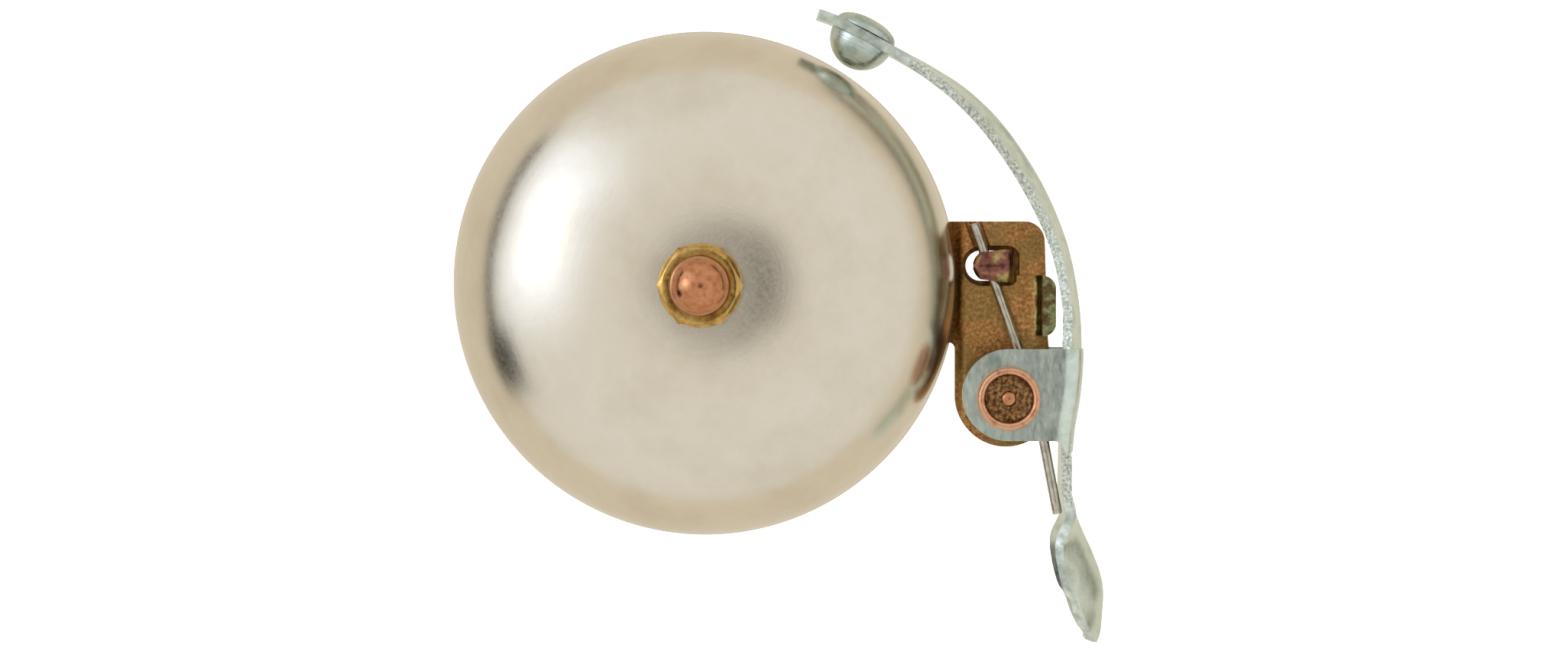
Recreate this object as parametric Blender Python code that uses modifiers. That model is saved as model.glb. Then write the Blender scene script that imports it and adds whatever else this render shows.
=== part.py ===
"""Lever-strike bicycle bell on a band clamp.

Metres, +Z up along the dome's axis. The origin is on the handlebar's axis, straight under the dome's centre,
and the handlebar runs along Y. The thumb paddle is at -Y, the striker at +Y and the lever on the +X side.
"""

from math import acos, asin, atan2, cos, degrees, hypot, pi, radians, sin, sqrt

import bmesh
import bpy
from mathutils import Matrix, Vector

MM = 0.001

# Clearances
SEAT = 0.3 * MM  # between two pieces that rest on each other
RUNNING = 0.08 * MM  # radial, between the pivot rivet and what turns on it
INSET = 0.03 * MM  # how far a formed tab's foot is buried in its plate
CUT = 2 * MM  # how far a cutter runs past what it cuts

# Handlebar and band clamp
BAR_RADIUS = 11.1 * MM
BAR_SLIP = 0.1 * MM
LINER_WALL = 0.9 * MM
LINER_WIDTH = 12 * MM
LINER_SPLIT_DEG = 17  # half of the opening at the lugs
BAND_SLIP = 0.2 * MM
BAND_WALL = 1.2 * MM
BAND_WIDTH = 13 * MM
BAND_FLANK_DEG = 30  # where the flanks leave the round part for the flat saddle
LUG_GAP = 4 * MM
LUG_REACH = 9.5 * MM  # from the round part to the lug's end
LUG_BEND = 1.6 * MM

# Clamp screw, along Z through the two lugs
SCREW_RADIUS = 2 * MM
SCREW_HEAD_RADIUS = 3.7 * MM
SCREW_HEAD = 2.4 * MM
SCREW_SLOT = (1.0 * MM, 1.1 * MM)  # width and depth
SCREW_SPARE = 2.2 * MM  # thread that shows past the nut
CLAMP_NUT_FLATS = 7 * MM
CLAMP_NUT = 3 * MM
LOCK_WASHER = 0.9 * MM
LOCK_WASHER_RADIUS = 3.5 * MM

# Centre bolt, a low round head with a square neck, and what stacks on it
BOLT_RADIUS = 2.5 * MM
BOLT_HEAD_RADIUS = 5.4 * MM
BOLT_HEAD = 1.9 * MM
BOLT_NECK = 5 * MM  # side of the square neck
TOOTH_WASHER = 0.7 * MM
TOOTH_WASHER_RADIUS = 4.6 * MM
BASE_NUT_FLATS = 8 * MM
BASE_NUT = 2.7 * MM
SLEEVE_RADIUS = 4 * MM
FIBRE_WASHER = 0.7 * MM
FIBRE_WASHER_RADIUS = 5.5 * MM
DOME_WASHER = 0.9 * MM
DOME_WASHER_RADIUS = 4.4 * MM
CAP_NUT_FLATS = 7.9 * MM
CAP_NUT = 2.9 * MM
CROWN_RADIUS = 3.1 * MM
CROWN_HEIGHT = 4 * MM
CROWN_WALL = 0.6 * MM

# Dome
DOME_RADIUS = 27.5 * MM
DOME_WALL = 1.1 * MM
DOME_HEIGHT = 18 * MM
DOME_SKIRT = 2.5 * MM
DOME_DRAFT = 0.3 * MM  # how much narrower the skirt is at its top
DOME_FLAT_RADIUS = 5.6 * MM
RIM_CLEARANCE = 1.4 * MM  # from the bracket's strip up to the rim

# Bracket
PLATE = 1.5 * MM
STRIP_LOW_Y = -6.5 * MM
STRIP_HIGH_Y = 6.8 * MM
JOGGLE = 1.8 * MM  # how much higher the outer plate lies than the strip
JOGGLE_RUN = 2.6 * MM
PLATE_RIGHT = DOME_RADIUS + 9.65 * MM
PLATE_CORNER = 2.2 * MM
LOBE_RADIUS = 5.5 * MM  # of the plate's round end at the pivot
NOTCH_RADIUS = 0.7 * MM  # where the lobe's side meets the strip
PIVOT = Vector((DOME_RADIUS + 5.4 * MM, -12.35 * MM, 0))
TAB_LOW_Y = -5.7 * MM
TAB_HIGH_Y = 0.9 * MM
TAB_FACE = DOME_RADIUS + 10.6 * MM  # outer face of the stop tab
TAB_CORNER = 1.5 * MM
TAB_HEIGHT = 4.1 * MM
TAB_BEND = 1.1 * MM
HOOK_Y = 1.95 * MM
HOOK_WIDTH = 3.6 * MM
HOOK_WALL = 1.1 * MM
HOOK_TIP = DOME_RADIUS + 2 * MM
HOOK_SLOT = (HOOK_TIP - 1 * MM, HOOK_TIP + 3.9 * MM)
HOOK_SLOT_WIDTH = 3.9 * MM
GROOVE_DEPTH = 0.45 * MM
GROOVE_RADIUS = 1.1 * MM

# Return spring, a torsion spring round the rivet
WIRE = 1.1 * MM
HOOK_ROOT = DOME_RADIUS + 5.3 * MM + WIRE  # the ramp of the hook stays clear of the wire
COIL_RADIUS = 3 * MM
COIL_TURNS = 2
COIL_LAY = 0.09 * MM  # between two turns
HOOK_LEG_DEG = -70.4  # direction of the wire as it comes in from the bracket's hook
PADDLE_LEG_DEG = -79.2  # and as it leaves for the paddle
HOOK_LEG = 19 * MM
PADDLE_LEG = 13.4 * MM

# Lever
SHEET = 1.1 * MM
CHEEK_RADIUS = 4.97 * MM
CHEEK_RISE = 0.35 * MM  # the cheeks' round ends sit this much above the pivot
WEB_FACE = PIVOT.x + 7.6 * MM
WEB_BEND = 2.2 * MM
PIVOT_WASHER = 0.5 * MM
PIVOT_WASHER_RADIUS = 3.9 * MM
RIB_SHARE = 0.35  # of the arm's depth that the raised rib takes
RIB_WIDTH = 0.45  # of the half width
LOWER_CURL = 0.45  # the arm's lower edge curls in less than the upper one, to clear the plate

# Striker, a turned ball riveted to the arm
STRIKER_RADIUS = 3.5 * MM
STRIKER_DROP = 0.25 * MM  # ball's centre below the strip's middle, towards the dome
STRIKER_CAP = 2.1 * MM  # riveted end above the strip's middle
STRIKER_SHANK = 1.4 * MM
STRIKER_AT = 0.091  # place along the lever, as a share of its stations

# Pivot rivet
RIVET_SHANK = 2.1 * MM
RIVET_HEAD = 3.42 * MM
RIVET_HEAD_HEIGHT = 1 * MM
RIVET_ROLL = 1.15 * MM
RIVET_MOUTH = 2.55 * MM
RIVET_BORE = 1.5 * MM
RIVET_BORE_DEPTH = 3 * MM

# Levels, from the handlebar's axis up
LINER_INNER = BAR_RADIUS + BAR_SLIP
LINER_OUTER = LINER_INNER + LINER_WALL
BAND_INNER = LINER_OUTER + BAND_SLIP
BAND_OUTER = BAND_INNER + BAND_WALL
HEAD_Z = LINER_OUTER + SEAT
SADDLE_Z = HEAD_Z + BOLT_HEAD + SEAT  # underside of the band's saddle
STRIP_Z = SADDLE_Z + BAND_WALL + SEAT  # underside of the bracket's strip
TOOTH_Z = STRIP_Z + PLATE + SEAT
BASE_NUT_Z = TOOTH_Z + TOOTH_WASHER + SEAT
SLEEVE_Z = BASE_NUT_Z + BASE_NUT + SEAT
RIM_Z = STRIP_Z + PLATE + RIM_CLEARANCE
APEX_Z = RIM_Z + DOME_HEIGHT
FIBRE_Z = APEX_Z - DOME_WALL - SEAT - FIBRE_WASHER
DOME_WASHER_Z = APEX_Z + SEAT
CAP_NUT_Z = DOME_WASHER_Z + DOME_WASHER + SEAT
PLATE_Z = STRIP_Z + JOGGLE  # underside of the outer plate
WIRE_LOW_Z = PLATE_Z + PLATE + SEAT + WIRE / 2
WIRE_HIGH_Z = WIRE_LOW_Z + (WIRE + COIL_LAY) * COIL_TURNS
NEAR_CHEEK_Z = WIRE_HIGH_Z + WIRE / 2 + SEAT  # underside of the upper cheek
LEVER_TOP = NEAR_CHEEK_Z + SHEET
PIVOT_WASHER_Z = PLATE_Z - SEAT - PIVOT_WASHER
LEVER_BOTTOM = PIVOT_WASHER_Z - SEAT - SHEET
LEVER_MID = (LEVER_TOP + LEVER_BOTTOM) / 2
LUG_Z = (LUG_GAP + BAND_WALL) / 2  # middle of a lug
LUG_ROOT_X = -sqrt((BAND_INNER + BAND_WALL / 2) ** 2 - LUG_Z**2)
SCREW_X = LUG_ROOT_X - LUG_REACH * 0.55

# The lever's spine is the line of its outermost face, from the tip past the striker to the paddle's end. Each
# station is measured from a point of the dome's rim, in millimetres: the point's bearing in degrees, the spine's x
# and y from it, half width, how far the edges curl in behind the spine, the middle's height above LEVER_MID, and
# the share of the paddle's spoon shape in the section.
RIM_STATIONS = [
    (58, -2.07, 6.43, 2.2, 0.02, 1.4, 0),
    (58, 0.03, 5.63, 2.3, 0.02, 1.4, 0),
    (56.5, 2.32, 4.42, 2.4, 0.02, 1.4, 0),
    (52, 4.37, 3.78, 2.5, 0.15, 1.35, 0),
    (46, 5.90, 3.67, 2.7, 0.6, 1.2, 0),
    (38, 7.13, 4.02, 2.9, 1.1, 1.0, 0),
    (29, 8.70, 3.67, 3.1, 1.4, 0.8, 0),
    (18, 10.55, 2.55, 3.3, 1.4, 0.5, 0),
    (8, 12.27, 0.67, 3.5, 1.15, 0.2, 0),
    (0, 13.35, -2.00, 3.6, 1.1, 0, 0),
    (0, 13.65, -7.50, 3.6, 1.4, 0, 0),
    (0, 13.35, -12.00, 3.6, 1.2, 0, 0),
    (0, 12.70, -16.00, 3.6, 0.5, 0, 0),
    (0, 12.45, -19.50, 3.5, 0.1, 0, 0.3),
    (0, 12.45, -22.60, 3.6, 0.1, 0, 1),
    (0, 13.05, -25.10, 4.3, 0.35, 0, 1),
    (0, 13.85, -27.10, 5.0, 2.9, 0, 1),
    (0, 14.80, -29.20, 5.4, 3.8, 0, 1),
    (0, 15.65, -31.40, 5.4, 3.9, 0, 1),
    (0, 16.10, -33.50, 5.1, 3.5, 0, 1),
    (0, 15.80, -35.90, 4.2, 2.3, 0, 1),
    (0, 15.40, -38.00, 3.0, 1.0, 0, 1),
    (0, 15.00, -39.20, 1.7, 0.3, 0, 1),
]
RIBBON_STEPS = 2  # cross sections from one station to the next
RIBBON_COLUMNS = 14  # faces across the sheet

ROUND = 40  # sides of a small turned piece
DOME_STEPS = 64


# Scene and materials


def start_scene():
    for obj in list(bpy.data.objects):
        bpy.data.objects.remove(obj)
    parts = bpy.data.collections.new("bicycle_bell")
    cutters = bpy.data.collections.new("cutters")
    for collection in (parts, cutters):
        bpy.context.scene.collection.children.link(collection)
    return parts, cutters


PARTS, CUTTERS = start_scene()


def metal(name, colour, roughness, metallic=1.0):
    material = bpy.data.materials.new(name)
    material.use_nodes = True
    shader = material.node_tree.nodes["Principled BSDF"]
    shader.inputs["Base Color"].default_value = (*colour, 1)
    shader.inputs["Roughness"].default_value = roughness
    shader.inputs["Metallic"].default_value = metallic
    return material


SATIN_NICKEL = metal("satin_nickel", (0.72, 0.67, 0.58), 0.3)
YELLOW_ZINC = metal("yellow_zinc", (0.52, 0.33, 0.14), 0.35)
BLUE_ZINC = metal("blue_zinc", (0.62, 0.66, 0.64), 0.35)
COPPER = metal("copper", (0.80, 0.42, 0.26), 0.3)
BRASS = metal("brass", (0.80, 0.58, 0.24), 0.25)
SPRING_STEEL = metal("spring_steel", (0.62, 0.60, 0.56), 0.25)
STEEL = metal("plain_steel", (0.55, 0.55, 0.55), 0.35)
RUBBER = metal("rubber", (0.03, 0.03, 0.03), 0.7, 0)
FIBRE = metal("red_fibre", (0.35, 0.10, 0.06), 0.8, 0)


# Shapes


def add_object(name, mesh, material=None, collection=None):
    obj = bpy.data.objects.new(name, mesh)
    (collection or PARTS).objects.link(obj)
    if material:
        mesh.materials.append(material)
    return obj


def arc(centre, radius, start_deg, end_deg, steps):
    """Points along an arc, both ends included, as (a, b) pairs."""
    turn = (end_deg - start_deg) / steps
    angles = [radians(start_deg + turn * i) for i in range(steps + 1)]
    return [(centre[0] + radius * cos(a), centre[1] + radius * sin(a)) for a in angles]


def smooth(obj, angle=35):
    obj.data.shade_smooth()
    obj.data.set_sharp_from_angle(angle=radians(angle))


def turned(name, profile, material, closed=True, steps=ROUND, base=None):
    """A shape turned about Z. The profile's (radius, height) points run down its outer side and, where it is
    closed, up its inner side."""
    mesh = bpy.data.meshes.new(name)
    count = len(profile)
    edges = [(i, (i + 1) % count) for i in range(count if closed else count - 1)]
    mesh.from_pydata([(r, 0, z) for r, z in profile], edges, [])
    obj = add_object(name, mesh, material)
    screw = obj.modifiers.new("turn", "SCREW")
    screw.steps = screw.render_steps = steps
    screw.use_merge_vertices = True
    screw.merge_threshold = 0.01 * MM
    screw.use_smooth_shade = True
    if base is not None:
        obj.location = base
    return obj


def washer(name, outer, inner, thickness, base, material):
    ring = [(outer, thickness), (outer, 0), (inner, 0), (inner, thickness)]
    return turned(name, ring, material, base=base)


def prism(name, outline, low, high, material=None, collection=None):
    """A flat outline in the XY plane, extruded from one height to the other, as a mesh."""
    curve = bpy.data.curves.new(name, "CURVE")
    curve.dimensions = "2D"
    curve.fill_mode = "BOTH"
    curve.extrude = (high - low) / 2
    spline = curve.splines.new("POLY")
    spline.points.add(len(outline) - 1)
    for point, (x, y) in zip(spline.points, outline):
        point.co = (x, y, 0, 1)
    spline.use_cyclic_u = True
    drawn = add_object(name + "_outline", curve, None, CUTTERS)
    drawn.location.z = (low + high) / 2
    return made_mesh(drawn, name, material, collection)


def made_mesh(drawn, name, material=None, collection=None):
    """The mesh of a curve or of a modified object, with its caps welded. The drawn object is removed."""
    bpy.context.view_layer.update()
    graph = bpy.context.evaluated_depsgraph_get()
    mesh = bpy.data.meshes.new_from_object(drawn.evaluated_get(graph))
    shape = bmesh.new()
    shape.from_mesh(mesh)
    bmesh.ops.remove_doubles(shape, verts=shape.verts, dist=0.001 * MM)
    shape.to_mesh(mesh)
    shape.free()
    mesh.materials.clear()
    made = add_object(name, mesh, material, collection)
    made.matrix_world = drawn.matrix_world
    bpy.data.objects.remove(drawn)
    return made


def bent_sheet(name, path, low_y, high_y, wall, material=None, collection=None):
    """Sheet metal bent along a path of (x, z) points, as wide as the two y values. The path is the face that the
    wall lies to the right of, walking along it and looking towards +Y."""
    mesh = bpy.data.meshes.new(name)
    points = [(x, y, z) for x, z in path for y in (low_y, high_y)]
    faces = [(2 * i, 2 * i + 2, 2 * i + 3, 2 * i + 1) for i in range(len(path) - 1)]
    mesh.from_pydata(points, [], faces)
    obj = add_object(name + "_sheet", mesh, None, CUTTERS)
    solid = obj.modifiers.new("wall", "SOLIDIFY")
    solid.thickness = wall
    solid.offset = -1
    solid.use_even_offset = True
    return made_mesh(obj, name, material, collection)


def cylinder(name, radius, low, high, at, sides=ROUND):
    """An upright cutter."""
    outline = arc(at, radius, 0, 360 * (sides - 1) / sides, sides - 1)
    return cutter(prism(name, outline, low, high, collection=CUTTERS))


def cutter(obj):
    obj.hide_render = True
    obj.display_type = "WIRE"
    return obj


def combine(obj, other, operation):
    """Cuts, joins or intersects with another mesh, and applies it."""
    cutter(other)
    change = obj.modifiers.new(other.name, "BOOLEAN")
    change.operation = operation
    change.solver = "EXACT"
    change.use_self = True
    change.object = other
    name = obj.name
    material = obj.data.materials[0] if obj.data.materials else None
    obj.name = name + "_before"
    collection = obj.users_collection[0]
    return made_mesh(obj, name, material, collection)


def hexagon(flats):
    return arc((0, 0), flats / sqrt(3), 0, 300, 5)


def polar(angle_deg, radius):
    return Vector((cos(radians(angle_deg)), sin(radians(angle_deg)), 0)) * radius


# Dome and what holds it


def dome_side(radius, top, skirt_top):
    """The crown from its flat middle to the skirt, as (radius, height) points on an ellipse."""
    flat = DOME_FLAT_RADIUS
    steps = 14
    rise = top - skirt_top
    angles = [pi / 2 * i / steps for i in range(steps + 1)]
    return [(flat + (radius - flat) * sin(a) ** 0.92, skirt_top + rise * cos(a)) for a in angles]


def make_dome():
    skirt_top = RIM_Z + DOME_SKIRT
    hole = BOLT_RADIUS + SEAT
    outer = dome_side(DOME_RADIUS - DOME_DRAFT, APEX_Z, skirt_top)
    inner = dome_side(DOME_RADIUS - DOME_DRAFT - DOME_WALL, APEX_Z - DOME_WALL, skirt_top)
    profile = [(hole, APEX_Z), *outer, (DOME_RADIUS, RIM_Z), (DOME_RADIUS - DOME_WALL, RIM_Z)]
    profile += [*reversed(inner), (hole, APEX_Z - DOME_WALL)]
    return turned("dome", profile, SATIN_NICKEL, steps=DOME_STEPS)


def make_centre_bolt():
    """Low round head under the band's saddle, square neck in the saddle, and a shank up to the cap nut."""
    top = CAP_NUT_Z + CAP_NUT
    head_points = 6
    head = [(0, top), (BOLT_RADIUS, top), (BOLT_RADIUS, HEAD_Z + BOLT_HEAD)]
    for i in range(head_points + 1):
        a = pi / 2 * i / head_points
        head.append((BOLT_HEAD_RADIUS * cos(a), HEAD_Z + BOLT_HEAD * (0.7 - 0.7 * sin(a)) ))
    head.insert(3, (BOLT_HEAD_RADIUS, HEAD_Z + BOLT_HEAD))
    bolt = made_mesh(turned("bolt_turned", head, None, closed=False), "centre_bolt", STEEL)
    half = BOLT_NECK / 2
    square = [(-half, -half), (half, -half), (half, half), (-half, half)]
    neck = prism("bolt_neck", square, HEAD_Z + BOLT_HEAD * 0.9, SADDLE_Z + BAND_WALL, collection=CUTTERS)
    return combine(bolt, neck, "UNION")


def make_nut(name, flats, height, base, bore, material, collection=None):
    """A hexagon nut, its corners turned off at the top and the bottom."""
    nut = prism(name, hexagon(flats), base, base + height, material, collection)
    corner = flats / sqrt(3)
    flat_face = flats / 2 * 0.98
    drop = (corner - flat_face) * 0.55
    middle = base + height / 2
    outline = [
        (0, middle + height / 2),
        (flat_face, middle + height / 2),
        (corner * 1.01, middle + height / 2 - drop),
        (corner * 1.01, middle - height / 2 + drop),
        (flat_face, middle - height / 2),
        (0, middle - height / 2),
    ]
    blank = made_mesh(turned(name + "_blank", outline, None, closed=False), name + "_turned", None, CUTTERS)
    nut = combine(nut, blank, "INTERSECT")
    return combine(nut, cylinder(name + "_bore", bore, base - CUT, base + height + CUT, (0, 0)), "DIFFERENCE")


def make_cap_nut():
    """A hexagon body with a pressed crown seated on it."""
    make_nut("cap_nut_body", CAP_NUT_FLATS, CAP_NUT, CAP_NUT_Z, BOLT_RADIUS + SEAT, BRASS)
    base = CAP_NUT_Z + CAP_NUT + SEAT
    straight = CROWN_HEIGHT - CROWN_RADIUS
    outer = arc((0, base + straight), CROWN_RADIUS, 90, 0, 12)
    inner = arc((0, base + straight), CROWN_RADIUS - CROWN_WALL, 0, 90, 12)
    profile = [*outer, (CROWN_RADIUS, base), (CROWN_RADIUS - CROWN_WALL, base), *inner]
    return turned("cap_nut_crown", profile, COPPER, closed=False)


def make_stack():
    """What the centre bolt holds, from the bracket up to the dome."""
    bore = BOLT_RADIUS + SEAT
    make_nut("base_nut", BASE_NUT_FLATS, BASE_NUT, BASE_NUT_Z, bore, YELLOW_ZINC)
    make_tooth_washer(bore)
    sleeve_height = FIBRE_Z - SEAT - SLEEVE_Z
    washer("spacer_sleeve", SLEEVE_RADIUS, bore, sleeve_height, (0, 0, SLEEVE_Z), STEEL)
    washer("fibre_washer", FIBRE_WASHER_RADIUS, bore, FIBRE_WASHER, (0, 0, FIBRE_Z), FIBRE)
    washer("dome_washer", DOME_WASHER_RADIUS, bore, DOME_WASHER, (0, 0, DOME_WASHER_Z), BRASS)


def make_tooth_washer(bore):
    """External teeth, so that the bracket can't turn under the base nut."""
    teeth = 12
    outline = []
    for i in range(teeth):
        step = 360 / teeth
        for share, radius in ((0, 0.84), (0.3, 0.84), (0.42, 1), (0.88, 1)):
            point = polar(step * (i + share), TOOTH_WASHER_RADIUS * radius)
            outline.append((point.x, point.y))
    plate = prism("tooth_washer", outline, TOOTH_Z, TOOTH_Z + TOOTH_WASHER, STEEL)
    hole = cylinder("tooth_washer_bore", bore, TOOTH_Z - CUT, TOOTH_Z + CUT, (0, 0))
    return combine(plate, hole, "DIFFERENCE")


# Band clamp


def band_path():
    """(x, z) points of the band's outer face, from the upper lug's end over the saddle and round to the lower
    lug's end. The saddle is flat and its flanks are tangent to the round part."""
    radius = BAND_OUTER
    top = SADDLE_Z + BAND_WALL
    flank = radians(BAND_FLANK_DEG)
    foot = (radius * cos(flank), radius * sin(flank))
    along = (top - foot[1]) / cos(flank)
    corner_x = foot[0] - along * sin(flank)
    corner = []
    bend = 2.4 * MM
    turn = BAND_FLANK_DEG - 90
    setback = bend * (1 - sin(flank)) / cos(flank)
    corner = arc((corner_x - setback, top - bend), bend, 90, 90 + turn, 5)
    lug_face = LUG_Z + BAND_WALL / 2
    root = degrees(asin(lug_face / radius))
    end_x = -radius - LUG_REACH + BAND_WALL / 2
    right = [*corner, *arc((0, 0), radius, BAND_FLANK_DEG, -180 + root + 3, 40)]
    left_corner = [(-x, z) for x, z in reversed(corner)]
    left = [*arc((0, 0), radius, 180 - root - 3, 180 - BAND_FLANK_DEG, 6), *left_corner]
    lug_start = radius * -cos(radians(root)) - 0.5 * MM
    return [(end_x, lug_face), (lug_start, lug_face), *left, *right, (lug_start, -lug_face), (end_x, -lug_face)]


def make_band():
    band = bent_sheet("clamp_band", band_path(), -BAND_WIDTH / 2, BAND_WIDTH / 2, BAND_WALL, YELLOW_ZINC)
    half = BOLT_NECK / 2 + SEAT
    square = [(-half, -half), (half, -half), (half, half), (-half, half)]
    neck = cutter(prism("neck_hole", square, SADDLE_Z - CUT, SADDLE_Z + BAND_WALL + CUT, collection=CUTTERS))
    band = combine(band, neck, "DIFFERENCE")
    reach = LUG_Z + BAND_WALL + CUT
    screw_hole = cylinder("lug_hole", SCREW_RADIUS + SEAT, -reach, reach, (SCREW_X, 0), 24)
    return combine(band, screw_hole, "DIFFERENCE")


def make_liner():
    """Split rubber sleeve between the handlebar and the band."""
    start = 180 - LINER_SPLIT_DEG
    path = arc((0, 0), LINER_OUTER, start, LINER_SPLIT_DEG - 180, 40)
    return bent_sheet("bar_liner", path, -LINER_WIDTH / 2, LINER_WIDTH / 2, LINER_WALL, RUBBER)


def make_clamp_screw():
    """Slotted cheese-head screw from below, a lock washer under its head and a square nut on the upper lug."""
    lug = LUG_Z + BAND_WALL / 2
    washer_top = -lug - SEAT
    head_top = washer_top - LOCK_WASHER - SEAT
    head_low = head_top - SCREW_HEAD
    nut_low = lug + SEAT
    top = nut_low + CLAMP_NUT + SCREW_SPARE
    round_off = 0.8 * MM
    profile = [(0, top), (SCREW_RADIUS * 0.8, top), (SCREW_RADIUS, top - 0.4 * MM), (SCREW_RADIUS, head_top)]
    profile += [(SCREW_HEAD_RADIUS, head_top)]
    profile += arc((SCREW_HEAD_RADIUS - round_off, head_low + round_off), round_off, 0, -90, 4)
    profile += [(0, head_low)]
    blank = turned("screw_blank", profile, None, closed=False, steps=32, base=(SCREW_X, 0, 0))
    screw = made_mesh(blank, "clamp_screw", YELLOW_ZINC)
    width, depth = SCREW_SLOT
    reach = SCREW_HEAD_RADIUS + CUT
    slot = [
        (SCREW_X - width / 2, -reach),
        (SCREW_X + width / 2, -reach),
        (SCREW_X + width / 2, reach),
        (SCREW_X - width / 2, reach),
    ]
    cut = cutter(prism("screw_slot", slot, head_low - CUT, head_low + depth, collection=CUTTERS))
    combine(screw, cut, "DIFFERENCE")
    bore = SCREW_RADIUS + SEAT
    washer_base = (SCREW_X, 0, washer_top - LOCK_WASHER)
    make_lock_washer(bore, washer_base)
    half = CLAMP_NUT_FLATS / 2
    square = [(SCREW_X + x * half, y * half) for x, y in ((-1, -1), (1, -1), (1, 1), (-1, 1))]
    nut = prism("clamp_nut", square, nut_low, nut_low + CLAMP_NUT, YELLOW_ZINC)
    hole = cylinder("clamp_nut_bore", bore, nut_low - CUT, nut_low + CLAMP_NUT + CUT, (SCREW_X, 0), 24)
    return combine(nut, hole, "DIFFERENCE")


def make_lock_washer(bore, base):
    ring = washer("lock_washer_ring", LOCK_WASHER_RADIUS, bore, LOCK_WASHER, base, None)
    ring = made_mesh(ring, "clamp_lock_washer", STEEL)
    half = 0.35 * MM
    split = [(SCREW_X - half, 0), (SCREW_X + half, 0), (SCREW_X + half, 6 * MM), (SCREW_X - half, 6 * MM)]
    cut = cutter(prism("washer_split", split, base[2] - CUT, base[2] + CUT, collection=CUTTERS))
    return combine(ring, cut, "DIFFERENCE")


# Bracket


def bracket_outline():
    """The bracket in plan: a strip under the dome, the outer plate and the round lobe at the pivot."""
    middle_y = (STRIP_LOW_Y + STRIP_HIGH_Y) / 2
    end_radius = (STRIP_HIGH_Y - STRIP_LOW_Y) / 2
    lobe_left = PIVOT.x - LOBE_RADIUS
    notch = (lobe_left - NOTCH_RADIUS, STRIP_LOW_Y - NOTCH_RADIUS)
    corner = (PLATE_RIGHT - PLATE_CORNER, STRIP_HIGH_Y - PLATE_CORNER)
    lobe_top = 14  # where the lobe's round side leaves for the plate's right edge
    return [
        *arc((0, middle_y), end_radius, 90, 270, 20),
        *arc(notch, NOTCH_RADIUS, 90, 0, 4),
        *arc((PIVOT.x, PIVOT.y), LOBE_RADIUS, 180, 360 + lobe_top, 30),
        (PLATE_RIGHT + 0.45 * MM, TAB_LOW_Y - 1.2 * MM),
        (PLATE_RIGHT + 0.35 * MM, TAB_LOW_Y - 0.2 * MM),
        *arc(corner, PLATE_CORNER, 0, 90, 6),
    ]


def joggle_path():
    """(x, z) points of the bracket's upper face, which steps up outside the dome's rim."""
    low, high = STRIP_Z + PLATE, PLATE_Z + PLATE
    start = DOME_RADIUS - 1.5 * MM
    steps = 8
    path = [(-10 * MM, low)]
    for i in range(steps + 1):
        t = i / steps
        path.append((start + JOGGLE_RUN * t, low + (high - low) * t * t * (3 - 2 * t)))
    return [*path, (PLATE_RIGHT + CUT, high)]


def stop_tab():
    """Bent up from the plate's right edge. Its foot lies inside the plate."""
    wall = PLATE - 2 * INSET
    face = TAB_FACE
    floor = PLATE_Z + INSET
    outer_bend = TAB_BEND + wall
    path = [(face - outer_bend - 1.5 * MM, floor)]
    path += arc((face - outer_bend, floor + outer_bend), outer_bend, -90, 0, 6)
    path += [(face, PLATE_Z + PLATE + TAB_HEIGHT)]
    path.reverse()
    tab = bent_sheet("stop_tab", path, TAB_LOW_Y - CUT, TAB_HIGH_Y + CUT, wall, collection=CUTTERS)
    corner = TAB_CORNER
    outline = [(face - 5 * MM, TAB_HIGH_Y), (face - 5 * MM, TAB_LOW_Y)]
    outline += arc((face + INSET - corner, TAB_LOW_Y + corner), corner, -90, 0, 5)
    outline += arc((face + INSET - corner, TAB_HIGH_Y - corner), corner, 0, 90, 5)
    plan = prism("tab_plan", outline, PLATE_Z - CUT, PLATE_Z + 9 * MM, collection=CUTTERS)
    return combine(tab, plan, "INTERSECT")


def hook_path():
    """(x, z) points of the hook's upper face, rising from its root, over the wire and down to its tip."""
    top = WIRE_LOW_Z + WIRE / 2 + SEAT + HOOK_WALL
    foot = PLATE_Z + PLATE - INSET
    bend = 2.4 * MM
    droop = 20
    rise = top - foot
    path = [(HOOK_ROOT + 0.4 * MM, foot), (HOOK_ROOT - 0.1 * MM, foot)]
    steps = 6
    for i in range(1, steps + 1):
        t = i / steps
        path.append((HOOK_ROOT - 1.5 * MM * t, foot + rise * t * t * (3 - 2 * t)))
    path += arc((HOOK_TIP + bend * sin(radians(droop)), top - bend), bend, 90, 90 + droop, 4)
    return path


def make_hook():
    low, high = HOOK_Y - HOOK_WIDTH / 2, HOOK_Y + HOOK_WIDTH / 2
    path = list(reversed(hook_path()))
    hook = bent_sheet("spring_hook", path, low - CUT, high + CUT, HOOK_WALL, collection=CUTTERS)
    radius = HOOK_WIDTH / 2
    outline = arc((HOOK_TIP + radius, HOOK_Y), radius, 90, 270, 10)
    outline += [(HOOK_ROOT + CUT, low), (HOOK_ROOT + CUT, high)]
    plan = prism("hook_plan", outline, PLATE_Z - CUT, PLATE_Z + 8 * MM, collection=CUTTERS)
    return combine(hook, plan, "INTERSECT")


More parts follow.
